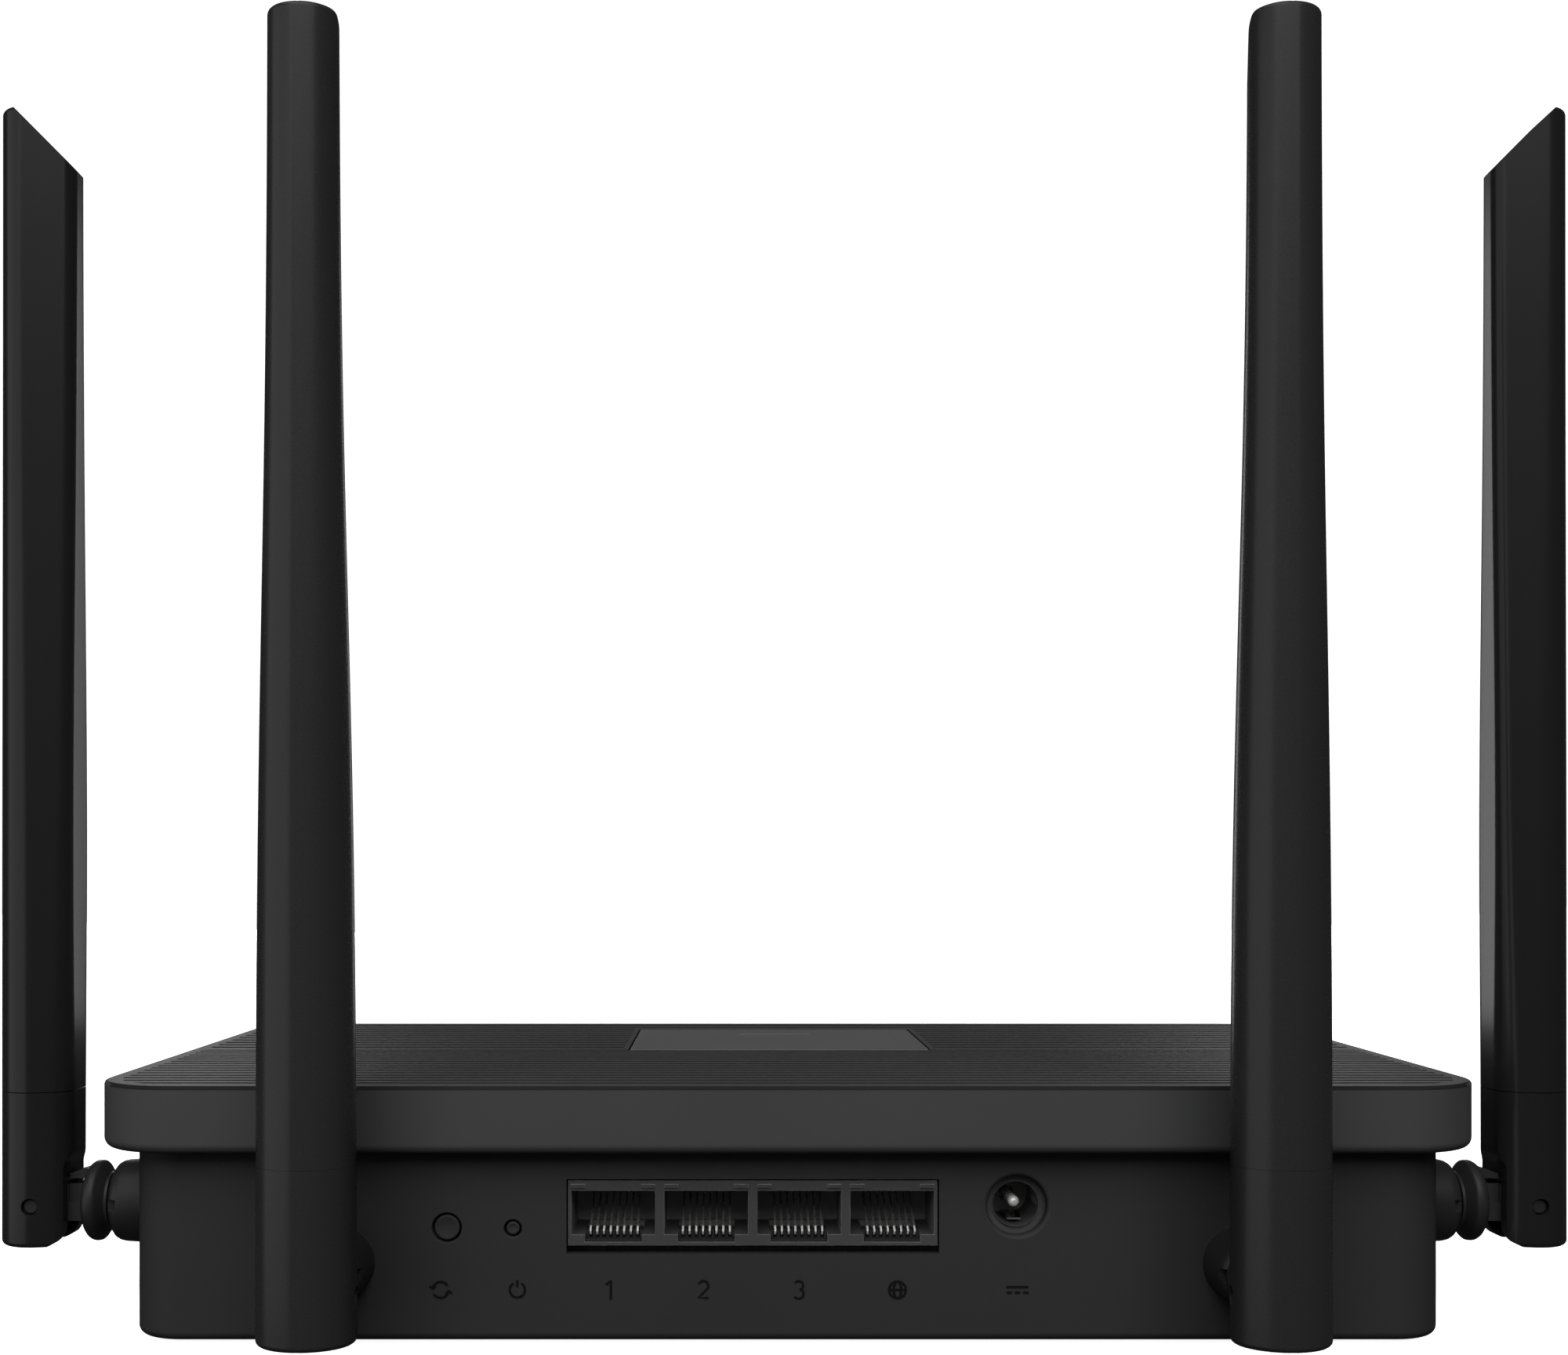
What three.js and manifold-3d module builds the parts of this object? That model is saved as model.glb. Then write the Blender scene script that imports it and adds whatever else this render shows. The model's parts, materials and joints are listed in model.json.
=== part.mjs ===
// A wireless router: a ribbed cover on a flat case, four antennas on swivel-and-tilt hinges,
// four network sockets, a power inlet, two buttons and the board with its parts.
// Millimetres. +Z is up, the socket side faces -Y, and the feet stand on z = 0.

import * as THREE from 'three';
import { mergeVertices } from 'three/addons/utils/BufferGeometryUtils.js';
import Module from 'manifold-3d';

const wasm = await Module();
wasm.setup();

// ---------- driving dimensions ----------

const GAP = 0.3; // between neighbouring pieces
const EPS = 0.1; // how far a cutter runs past the face that it cuts

const CASE_HALF_X = 99.5; // lower case, half its width
const REAR_Y = -41.35; // outer face of the case's socket wall
const FRONT_Y = 66.0; // outer face of the case's front wall
const CASE_BOTTOM = 0.7;
const CASE_EDGE = 1.3; // rounding of its bottom edge
const CASE_CORNER = 8; // plan radius
const WALL = 2.0;
const SPLIT_Z = 29.4; // the cover's lower edge
const TOP_Z = 39.5; // the cover's top
const LAP = 5; // how far the case's walls reach up inside the cover

const COVER_HALF_X = 104.6;
const COVER_REAR_Y = REAR_Y - 5;
const COVER_DEPTH = 115.4;
const COVER_CORNER = 13;
const COVER_SKIN = 2.4; // thickness of the cover's top
const RIM = 2.6; // plain band round the ribbed field
const SEAM_FROM_REAR = 56.8; // the groove that parts the two ribbed fields
const SEAM_WIDTH = 0.7;
const SEAM_DEPTH = 0.9;
const SEAM_BAND = 2.2; // plain band in front of the seam
const REAR_RIBS = 15;
const FRONT_RIBS = 11;
const RIB_DEPTH = 0.75;

const PLATE_WIDTH = 53.1;
const PLATE_DEPTH = 42.5;
const PLATE_THICK = 1.2;
const PLATE_BAND = 1.2; // plain band round it
const LENS_WIDTH = 13.4;
const LENS_THICK = 1.0;
const LENS_FROM_REAR = 89.3;

const FOOT_RADIUS = 6;
const FOOT_HEIGHT = 1.9;
const FOOT_X = 82;
const SCREW_X = 86;
const SCREW_INSET_Y = 12; // screws from the case's front and rear faces

const BOARD_TOP = 14.6;
const BOARD_THICK = 1.6;
const BOARD_X = [-60, 58];
const BOARD_Y = [REAR_Y + 3.2, REAR_Y + 84];
const POST_X = [-54, 52];
const POST_Y = [REAR_Y + 42, REAR_Y + 78];

const PORT_PITCH = 13.97;
const PORT_X = -5.4; // middle of the row of four sockets
const PORT_OPEN_WIDTH = 12.6;
const PORT_FLOOR = 16.6; // underside of the plug's space
const PORT_CEILING = 23.2;
const PORT_DEPTH = 13;
const HOUSING_Z = [14.9, 24.75];
const HOUSING_DEPTH = 16;
const HOUSING_HALF = 27.7; // half its width
const HOUSING_FRONT = REAR_Y + 0.4;
const CUTOUT_Z = [14.2, 25.0];
const COMB_WIDTH = 8.6; // recess that holds the eight contacts
const CONTACT_PITCH = 1.016;
const CONTACT_THICK = 0.34;

const INLET_X = 34.3;
const INLET_Z = 21.0;
const INLET_HOLE_RADIUS = 4.5;
const INLET_BORE_RADIUS = 3.3;

// where each button is, its cap radius and its switch's half width
const BUTTONS = [
  { name: 'wps', x: -51.3, z: 17.7, cap: 1.9, half: 3.0 },
  { name: 'reset', x: -41.4, z: 17.6, cap: 1.0, half: 2.6 },
];

// antenna, in its own frame: +X out of the wall, +Y along the wall, origin on the swivel axis
const OUTER_X = 27.7; // outermost line of the antenna
const INNER_X = 15.45; // its flat inner face
const PIN_X = 21.3;
const FOOT_Z = -6.65; // lower end, from the swivel axis
const LENGTH = 183.6;
const SLEEVE_LENGTH = 24.8;
const TIP_WIDTH = 2.8;
const TIP_ROUND = 0.8;
const MIDDLE_WIDTH = 11.78; // seen from behind, halfway through its taper
const WIDTH_CHANGE = 2.17; // each way from there
const TAPER_MIDDLE = 103; // height above the lower end
const TAPER_REACH = 49;
const NOSE_SHARE = 0.44; // depth of the round nose, as a share of the width
const CHEEK_SLOPE = 0.24; // how fast the cheeks close in behind the nose
const INNER_CORNER = 1.6;
const SHELL = 1.6; // wall of the sleeve and blade
const SPIGOT = 6.5; // how far the blade plugs into the sleeve
const NOTCH_X = 16.55; // the sleeve is cut back to here beside the hub
const NOTCH_RADIUS = 3.3;
const NOTCH_TOP = 8.9;
const TONGUE_HALF = 2.5;
const TONGUE_RADIUS = 3.0;
const PIN_RADIUS = 1.18;
const BUSH_HOLE_RADIUS = 5.0; // in the case's wall
const BOSS_END = 9.45; // outer end of the fixed bush
const BOSS_RADIUS = 7.05;
const COLLAR_RADIUS = 6.5;
const COLLAR_FRONT = 13.7;
const SHAFT_RADIUS = 3.0;
const CABLE_RADIUS = 0.7;

// swivel axes, on the socket wall and on the side walls
const REAR_MOUNT_X = 67.55;
const REAR_MOUNT_Z = 12.4;
const SIDE_MOUNT_Y = REAR_Y + 25.5;
const SIDE_MOUNT_Z = 17.5;

// the rear hinges are slimmer than the side ones
const REAR_HINGE = 0.78;
const SIDE_HINGE = 1;

// each antenna: its hinge's place on the wall, the turn that faces it outward, its hinge's size,
// and where its cable meets the board, in the antenna's own frame
const ANTENNAS = [
  {
    name: 'rear_left',
    at: [-REAR_MOUNT_X, REAR_Y, REAR_MOUNT_Z],
    turn: -90,
    hinge: REAR_HINGE,
    pad: [-27, 12, 3.4],
  },
  {
    name: 'rear_right',
    at: [REAR_MOUNT_X, REAR_Y, REAR_MOUNT_Z],
    turn: -90,
    hinge: REAR_HINGE,
    pad: [-27, -14, 3.4],
  },
  {
    name: 'side_left',
    at: [-CASE_HALF_X, SIDE_MOUNT_Y, SIDE_MOUNT_Z],
    turn: 180,
    hinge: SIDE_HINGE,
    pad: [-44, -9, -1.95],
  },
  {
    name: 'side_right',
    at: [CASE_HALF_X, SIDE_MOUNT_Y, SIDE_MOUNT_Z],
    turn: 0,
    hinge: SIDE_HINGE,
    pad: [-46, 9, -1.95],
  },
];

// ---------- materials ----------

const finish = (color, roughness, metalness = 0) =>
  new THREE.MeshStandardMaterial({ color, roughness, metalness });

const COVER_PLASTIC = finish(0x383838, 0.55);
const CASE_PLASTIC = finish(0x292929, 0.6);
const PLATE_PLASTIC = finish(0x494949, 0.45);
const ANTENNA_PLASTIC = finish(0x2b2b2b, 0.5);
const HOUSING_PLASTIC = finish(0x303030, 0.5);
const DARK_PLASTIC = finish(0x1d1d1d, 0.55);
const LENS_PLASTIC = finish(0x101214, 0.2);
const RUBBER = finish(0x1a1a1a, 0.9);
const SILVER = finish(0xc8c8c8, 0.25, 1);
const STEEL = finish(0x9a9a9a, 0.35, 1);
const ALUMINIUM = finish(0xa8abad, 0.45, 1);
const BOARD_BLACK = finish(0x101a14, 0.5);
const CABLE_GREY = finish(0x3a3a3a, 0.5);

// ---------- making solids ----------

const solid = (geometry) => {
  const bare = geometry.clone();
  bare.deleteAttribute('normal');
  bare.deleteAttribute('uv');
  const merged = mergeVertices(bare, 1e-5);
  return new wasm.Manifold(new wasm.Mesh({
    numProp: 3,
    vertProperties: new Float32Array(merged.attributes.position.array),
    triVerts: new Uint32Array(merged.index.array),
  }));
};

const surface = (body) => {
  const mesh = body.getMesh();
  const geometry = new THREE.BufferGeometry();
  geometry.setAttribute('position', new THREE.BufferAttribute(mesh.vertProperties, 3));
  geometry.setIndex(new THREE.BufferAttribute(mesh.triVerts, 1));
  geometry.computeVertexNormals();
  return geometry;
};

const join = (pieces) => pieces.reduce((whole, piece) => whole.add(piece));
const cut = (body, cutters) => body.subtract(join(cutters));

const block = ([x0, x1], [y0, y1], [z0, z1]) => {
  const geometry = new THREE.BoxGeometry(x1 - x0, y1 - y0, z1 - z0);
  geometry.translate((x0 + x1) / 2, (y0 + y1) / 2, (z0 + z1) / 2);
  return solid(geometry);
};

const extrude = (shape, depth) =>
  new THREE.ExtrudeGeometry(shape, { depth, bevelEnabled: false, curveSegments: 6 });

const outline = (points) => new THREE.Shape(points.map(([a, b]) => new THREE.Vector2(a, b)));

// a shape drawn in (x, z), run along Y from y0 to y1
const alongY = (shape, [y0, y1]) => {
  const geometry = extrude(shape, y1 - y0);
  geometry.rotateX(Math.PI / 2);
  geometry.translate(0, y1, 0);
  return solid(geometry);
};

// a shape drawn in (y, z), run along X from x0 to x1
const alongX = (shape, [x0, x1]) => {
  const geometry = extrude(shape, x1 - x0);
  geometry.rotateX(Math.PI / 2);
  geometry.rotateZ(Math.PI / 2);
  geometry.translate(x0, 0, 0);
  return solid(geometry);
};

// a profile of [radius, distance] turned about an axis through `at`
const turned = (profile, axis, at, segments = 16) => {
  const points = profile.map(([radius, along]) => new THREE.Vector2(radius, along));
  const geometry = new THREE.LatheGeometry(points, segments);
  if (axis === 'x') {
    geometry.rotateZ(-Math.PI / 2);
  }
  if (axis === 'z') {
    geometry.rotateX(Math.PI / 2);
  }
  geometry.translate(...at);
  return solid(geometry);
};

const rod = (radius, [low, high], axis, at, segments = 16) =>
  turned([[0, low], [radius, low], [radius, high], [0, high]], axis, at, segments);

// closed skin through rings of equally many points, each ring above the last
const loft = (rings) => {
  const count = rings[0].length;
  const positions = rings.flat().flatMap((point) => point.toArray());
  const index = [];
  for (let level = 0; level + 1 < rings.length; level += 1) {
    for (let i = 0; i < count; i += 1) {
      const a = level * count + i;
      const b = level * count + ((i + 1) % count);
      index.push(a, b, b + count, a, b + count, a + count);
    }
  }
  for (let i = 1; i + 1 < count; i += 1) {
    const last = (rings.length - 1) * count;
    index.push(0, i + 1, i, last, last + i, last + i + 1);
  }
  const geometry = new THREE.BufferGeometry();
  geometry.setAttribute('position', new THREE.Float32BufferAttribute(positions, 3));
  geometry.setIndex(index);
  return solid(geometry);
};

// rounded rectangle in plan at height z, drawn in by inset
const planRing = ({ halfX, low, high, radius }, inset, z, segments = 4) => {
  const ring = [];
  const corners = [[1, -1], [1, 1], [-1, 1], [-1, -1]];
  corners.forEach(([sx, sy], quarter) => {
    const cx = sx * (halfX - radius);
    const cy = sy > 0 ? high - radius : low + radius;
    for (let i = 0; i <= segments; i += 1) {
      const angle = (quarter - 1 + i / segments) * Math.PI / 2;
      const reach = radius - inset;
      ring.push(new THREE.Vector3(cx + reach * Math.cos(angle), cy + reach * Math.sin(angle), z));
    }
  });
  return ring;
};

const plate = (plan, inset, [z0, z1]) => loft([planRing(plan, inset, z0), planRing(plan, inset, z1)]);

const parts = new THREE.Group();

const place = (name, body, material, group = parts) => {
  const mesh = new THREE.Mesh(surface(body), material);
  mesh.name = name;
  group.add(mesh);
};

const mirrored = (values) => [-values, values];
const FRONT_AND_REAR_SCREWS = [REAR_Y + SCREW_INSET_Y, FRONT_Y - SCREW_INSET_Y];
const CORNERS = mirrored(SCREW_X).flatMap((x) => FRONT_AND_REAR_SCREWS.map((y) => [x, y]));

// ---------- cover ----------

const COVER_PLAN = {
  halfX: COVER_HALF_X,
  low: COVER_REAR_Y,
  high: COVER_REAR_Y + COVER_DEPTH,
  radius: COVER_CORNER,
};
const CASE_PLAN = { halfX: CASE_HALF_X, low: REAR_Y, high: FRONT_Y, radius: CASE_CORNER };
const SEAM_Y = COVER_REAR_Y + SEAM_FROM_REAR;
const LENS_Y = COVER_REAR_Y + LENS_FROM_REAR;

// grooves across the cover from y0 to y1, leaving `count` rounded ribs between them
const grooves = (y0, y1, count) => {
  const pitch = (y1 - y0) / count;
  const bodies = [];
  for (let i = 0; i < count; i += 1) {
    const middle = y0 + (i + 0.5) * pitch;
    const points = [
      [middle - 0.3 * pitch, TOP_Z + EPS],
      [middle - 0.15 * pitch, TOP_Z - 0.85 * RIB_DEPTH],
      [middle, TOP_Z - RIB_DEPTH],
      [middle + 0.15 * pitch, TOP_Z - 0.85 * RIB_DEPTH],
      [middle + 0.3 * pitch, TOP_Z + EPS],
    ];
    bodies.push(alongX(outline(points), [-COVER_HALF_X, COVER_HALF_X]));
  }
  return bodies;
};

const PLATE_START = SEAM_Y + SEAM_WIDTH / 2 + GAP;
const PLATE_Y = [PLATE_START, PLATE_START + PLATE_DEPTH];

const cover = () => {
  const skin = loft([
    planRing(COVER_PLAN, 1.4, SPLIT_Z),
    planRing(COVER_PLAN, 0.4, SPLIT_Z + 0.5),
    planRing(COVER_PLAN, 0, SPLIT_Z + 1.5),
    planRing(COVER_PLAN, 0, TOP_Z - 0.6),
    planRing(COVER_PLAN, 0.2, TOP_Z - 0.2),
    planRing(COVER_PLAN, 0.6, TOP_Z),
  ]);
  const seat = plate(CASE_PLAN, -GAP, [SPLIT_Z - EPS, SPLIT_Z + LAP + GAP]);
  const hollow = plate(CASE_PLAN, WALL, [SPLIT_Z - EPS, TOP_Z - COVER_SKIN]);
  const field = plate(COVER_PLAN, RIM, [TOP_Z - 2, TOP_Z + 1]);
  const rearField = [COVER_REAR_Y + RIM, SEAM_Y - SEAM_WIDTH / 2];
  const frontField = [SEAM_Y + SEAM_WIDTH / 2 + SEAM_BAND, COVER_REAR_Y + COVER_DEPTH - RIM];
  const plateBand = block(
    mirrored(PLATE_WIDTH / 2 + PLATE_BAND),
    [SEAM_Y, PLATE_Y[1] + PLATE_BAND],
    [SPLIT_Z, TOP_Z + 2],
  );
  const ribbing = join([
    ...grooves(...rearField, REAR_RIBS),
    ...grooves(...frontField, FRONT_RIBS),
  ]).intersect(field).subtract(plateBand);
  const seam = block(
    mirrored(COVER_HALF_X - RIM),
    [SEAM_Y - SEAM_WIDTH / 2, SEAM_Y + SEAM_WIDTH / 2],
    [TOP_Z - SEAM_DEPTH, TOP_Z + EPS],
  );
  const plateSeat = block(
    mirrored(PLATE_WIDTH / 2 + GAP),
    [PLATE_Y[0] - GAP, PLATE_Y[1] + GAP],
    [TOP_Z - PLATE_THICK - GAP, TOP_Z + EPS],
  );
  const lensHole = block(
    mirrored(LENS_WIDTH / 2 + GAP),
    [LENS_Y - LENS_THICK / 2 - GAP, LENS_Y + LENS_THICK / 2 + GAP],
    [TOP_Z - 5, TOP_Z + EPS],
  );
  const shell = cut(skin, [seat, hollow, ribbing, seam, plateSeat, lensHole]);
  const bosses = CORNERS.map(([x, y]) => rod(3.2, [7.4, TOP_Z - 1.4], 'z', [x, y, 0], 12));
  const bores = CORNERS.map(([x, y]) => rod(1.5, [7.4 - EPS, 24], 'z', [x, y, 0], 10));
  return cut(join([shell, ...bosses]), bores);
};

const badgePlate = () => {
  const base = block(mirrored(PLATE_WIDTH / 2), PLATE_Y, [TOP_Z - PLATE_THICK, TOP_Z]);
  const slot = block(
    mirrored(LENS_WIDTH / 2 + 0.1),
    [LENS_Y - LENS_THICK / 2 - 0.1, LENS_Y + LENS_THICK / 2 + 0.1],
    [TOP_Z - 5, TOP_Z + EPS],
  );
  return cut(base, [slot]);
};

const lens = () => join([
  block(mirrored(LENS_WIDTH / 2), [LENS_Y - LENS_THICK / 2, LENS_Y + LENS_THICK / 2],
    [TOP_Z - 4, TOP_Z - 0.15]),
  block([-2.2, 2.2], [LENS_Y - 0.5, LENS_Y + 0.5], [17.2, TOP_Z - 3.9]),
]);

// ---------- lower case ----------

const caseBody = () => {
  const outside = loft([
    planRing(CASE_PLAN, CASE_EDGE, CASE_BOTTOM),
    planRing(CASE_PLAN, 0.5 * CASE_EDGE, CASE_BOTTOM + 0.13 * CASE_EDGE),
    planRing(CASE_PLAN, 0.13 * CASE_EDGE, CASE_BOTTOM + 0.5 * CASE_EDGE),
    planRing(CASE_PLAN, 0, CASE_BOTTOM + CASE_EDGE),
    planRing(CASE_PLAN, 0, SPLIT_Z + LAP),
  ]);
  const inside = plate(CASE_PLAN, WALL, [CASE_BOTTOM + WALL, SPLIT_Z + LAP + EPS]);
  const rearWall = [REAR_Y - EPS, REAR_Y + WALL + EPS];
  const holes = [
    block([PORT_X - HOUSING_HALF - 0.25, PORT_X + HOUSING_HALF + 0.25], rearWall, CUTOUT_Z),
    turned([
      [0, -EPS], [INLET_HOLE_RADIUS + 0.65, -EPS], [INLET_HOLE_RADIUS + 0.2, 0.25],
      [INLET_HOLE_RADIUS, 0.6], [INLET_HOLE_RADIUS, WALL + EPS], [0, WALL + EPS],
    ], 'y', [INLET_X, REAR_Y, INLET_Z], 28),
    ...BUTTONS.map(({ x, z, cap }) => rod(cap + 0.3, [-EPS, WALL + EPS], 'y', [x, REAR_Y, z])),
  ];
  for (const { at, turn } of ANTENNAS) {
    const axis = turn === -90 ? 'y' : 'x';
    holes.push(rod(BUSH_HOLE_RADIUS, [-WALL - 1, WALL + 1], axis, at));
  }
  const shell = cut(outside, [inside, ...holes]);
  const floorTop = CASE_BOTTOM + WALL - EPS;
  const posts = POST_X.flatMap((x) => POST_Y.map((y) => join([
    rod(2.6, [floorTop, BOARD_TOP - BOARD_THICK - GAP], 'z', [x, y, 0], 8),
    rod(1.2, [floorTop, BOARD_TOP + 1], 'z', [x, y, 0], 6),
  ])));
  const seats = CORNERS.map(([x, y]) => rod(4.6, [floorTop, 7.0], 'z', [x, y, 0], 12));
  const screwHoles = CORNERS.flatMap(([x, y]) => [
    rod(3.1, [0, 4.6], 'z', [x, y, 0], 12),
    rod(1.6, [0, 8], 'z', [x, y, 0], 8),
  ]);
  const footSeats = footPlaces().map(([x, y]) =>
    rod(FOOT_RADIUS + GAP, [0, FOOT_HEIGHT + GAP], 'z', [x, y, 0]));
  const vents = [];
  for (let column = -3; column <= 3; column += 1) {
    for (const y of [-4, 24]) {
      vents.push(block([column * 14 - 1.2, column * 14 + 1.2], [y - 9, y + 9], [0, 4]));
    }
  }
  return cut(join([shell, ...posts, ...seats]), [...screwHoles, ...footSeats, ...vents]);
};

function footPlaces() {
  return mirrored(FOOT_X).flatMap((x) => [REAR_Y + 27, FRONT_Y - 27].map((y) => [x, y]));
}

const foot = ([x, y]) => turned([
  [0, 0], [FOOT_RADIUS - 0.6, 0], [FOOT_RADIUS, 0.6], [FOOT_RADIUS, FOOT_HEIGHT], [0, FOOT_HEIGHT],
], 'z', [x, y, 0]);

const caseScrew = ([x, y]) => {
  const body = turned([
    [0, 2.2], [2.0, 2.2], [2.7, 2.9], [2.7, 4.3], [1.2, 4.3], [1.2, 16], [0.4, 17.2], [0, 17.2],
  ], 'z', [x, y, 0], 12);
  const slots = [block([x - 1.6, x + 1.6], [y - 0.3, y + 0.3], [2, 3.1]),
    block([x - 0.3, x + 0.3], [y - 1.6, y + 1.6], [2, 3.1])];
  return cut(body, slots);
};

// ---------- network sockets ----------

const portCentres = [-1.5, -0.5, 0.5, 1.5].map((step) => PORT_X + step * PORT_PITCH);

const socketHousing = () => {
  const y0 = HOUSING_FRONT;
  const base = block([PORT_X - HOUSING_HALF, PORT_X + HOUSING_HALF], [y0, y0 + HOUSING_DEPTH], HOUSING_Z);
  const lugs = [];
  const spaces = [];
  for (const x of portCentres) {
    const half = PORT_OPEN_WIDTH / 2;
    spaces.push(block([x - half, x + half], [y0 - 1, y0 + PORT_DEPTH], [PORT_FLOOR, PORT_CEILING]));
    spaces.push(block([x - COMB_WIDTH / 2, x + COMB_WIDTH / 2], [y0 - 1, y0 + PORT_DEPTH - 1],
      [PORT_FLOOR - 1.1, PORT_FLOOR + 1]));
    for (const side of [-1, 1]) {
      const edge = x + side * half;
      const span = [Math.min(edge, edge - side * 2.1), Math.max(edge, edge - side * 2.1)];
      lugs.push(block(span, [y0 - 0.35, y0 + 1], [PORT_CEILING + 0.5, PORT_CEILING + 1.0]));
    }
  }
  return join([cut(base, spaces), ...lugs]);
};

// closed outline of a strip of even thickness along a bent line
const stripOutline = (line, thickness) => {
  const sides = [1, -1].map((side) => line.map(([a, b], i) => {
    const [pa, pb] = line[Math.max(i - 1, 0)];
    const [na, nb] = line[Math.min(i + 1, line.length - 1)];
    const length = Math.hypot(na - pa, nb - pb);
    const shift = side * thickness / 2 / length;
    return [a - shift * (nb - pb), b + shift * (na - pa)];
  }));
  return outline([...sides[0], ...sides[1].reverse()]);
};

const contactComb = (x) => {
  const y0 = HOUSING_FRONT;
  const wire = stripOutline([
    [y0 + 4.6, 16.0], [y0 + 2.8, 16.1], [y0 + 2.35, 16.6],
    [y0 + 3.0, 17.25], [y0 + 12.2, 19.1],
  ], CONTACT_THICK);
  const wires = [];
  for (let i = 0; i < 8; i += 1) {
    const middle = x + (i - 3.5) * CONTACT_PITCH;
    wires.push(alongX(wire, [middle - CONTACT_THICK / 2, middle + CONTACT_THICK / 2]));
  }
  const bar = block([x - 4.0, x + 4.0], [y0 + 4.4, y0 + 5.6], [15.75, 16.35]);
  return join([...wires, bar]);
};

// ---------- power inlet ----------

const inletHousing = () => {
  const y0 = REAR_Y + WALL + GAP;
  const body = block([INLET_X - 4.7, INLET_X + 4.7], [y0, y0 + 13.5], [BOARD_TOP + GAP, 26.2]);
  const lip = rod(3.5, [-0.35, 1], 'y', [INLET_X, y0, INLET_Z], 24);
  const bore = turned([
    [0, -1], [INLET_BORE_RADIUS, -1], [INLET_BORE_RADIUS, 10], [1.2, 10], [1.2, 14], [0, 14],
  ], 'y', [INLET_X, y0, INLET_Z], 24);
  return cut(join([body, lip]), [bore]);
};

const inletPin = () => {
  const y0 = REAR_Y + WALL + GAP;
  return turned([
    [0, 1.3], [0.45, 1.4], [0.78, 1.75], [0.85, 2.2], [0.85, 13.8], [1.6, 13.8], [1.6, 14.6], [0, 14.6],
  ], 'y', [INLET_X, y0, INLET_Z], 16);
};

const inletSpring = () => {
  const y0 = REAR_Y + WALL + GAP;
  const strip = stripOutline([
    [y0 + 1.6, INLET_Z - 2.6],
    [y0 + 4.5, INLET_Z - 1.9],
    [y0 + 7, INLET_Z - 2.1],
    [y0 + 9.4, INLET_Z - 2.6],
  ], 0.3);
  return alongX(strip, [INLET_X - 1.1, INLET_X + 1.1]);
};

// ---------- buttons ----------

const button = ({ x, z, cap }) => turned([
  [0, 0.6], [cap * 0.5, 0.52], [cap - 0.35, 0.35], [cap - 0.1, 0.4], [cap, 0.6],
  [cap, 1.9], [cap * 0.6, 1.9], [cap * 0.6, 7.4], [0, 7.4],
], 'y', [x, REAR_Y, z]);

const buttonSwitch = ({ x, z, cap, half }) => cut(
  block([x - half, x + half], [REAR_Y + 3.4, REAR_Y + 10.4], [BOARD_TOP + GAP, z + half]),
  [rod(cap * 0.6 + GAP, [3, 9], 'y', [x, REAR_Y, z], 16)],
);

// ---------- board ----------

const board = () => {
  const base = block(BOARD_X, BOARD_Y, [BOARD_TOP - BOARD_THICK, BOARD_TOP]);
  const holes = POST_X.flatMap((x) => POST_Y.map((y) => rod(1.6, [10, 16], 'z', [x, y, 0], 8)));
  return cut(base, holes);
};

const heatsink = () => {
  const [x0, y0, z0] = [-24, REAR_Y + 34, BOARD_TOP + GAP];
  const fins = [];
  for (let i = 0; i < 7; i += 1) {
    fins.push(block([x0 + i * 4.4, x0 + i * 4.4 + 1.6], [y0, y0 + 28], [z0 + 1, z0 + 7.5]));
  }
  return join([block([x0, x0 + 28], [y0, y0 + 28], [z0, z0 + 1.6]), ...fins]);
};

const shieldCan = () => {
  const plan = { halfX: 17, low: REAR_Y + 36, high: REAR_Y + 62, radius: 1.2 };
  const z0 = BOARD_TOP + GAP;
  const can = loft([
    planRing(plan, 0, z0, 2),
    planRing(plan, 0, z0 + 2.8, 2),
    planRing(plan, 0.5, z0 + 3.3, 2),
  ]);
  return can.translate([26, 0, 0]);
};

const transformer = (x) => {
  const [y0, z0] = [REAR_Y + 19.5, BOARD_TOP + GAP];
  const body = block([x - 8, x + 8], [y0, y0 + 8], [z0 + 0.3, z0 + 5.6]);
  const leads = [];
  for (let i = -3; i <= 3; i += 1) {
    leads.push(block([x + i * 2 - 0.3, x + i * 2 + 0.3], [y0 - 1.2, y0 + 9.2], [z0, z0 + 0.9]));
  }
  return join([body, ...leads]);
};

const capacitor = (x) => turned([
  [0, 0], [4, 0], [4, 1.2], [3.6, 1.6], [4, 2.0], [4, 8.6], [3.6, 9], [0, 9],
], 'z', [x, REAR_Y + 26, BOARD_TOP + GAP], 16);

const statusLed = () => {
  const z0 = BOARD_TOP + GAP;
  return block([-1.6, 1.6], [LENS_Y - 0.8, LENS_Y + 0.8], [z0, z0 + 1.2]);
};

// ---------- antennas ----------

// the antenna tapers smoothly from its wide foot to its narrow upper half
const antennaWidth = (height) =>
  MIDDLE_WIDTH - WIDTH_CHANGE * Math.tanh((height - TAPER_MIDDLE) / TAPER_REACH);

// the rounding of its inner edges fades from the foot upward
const innerCorner = (height) => INNER_CORNER * (2 - Math.tanh((height - 45) / 25));

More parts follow.
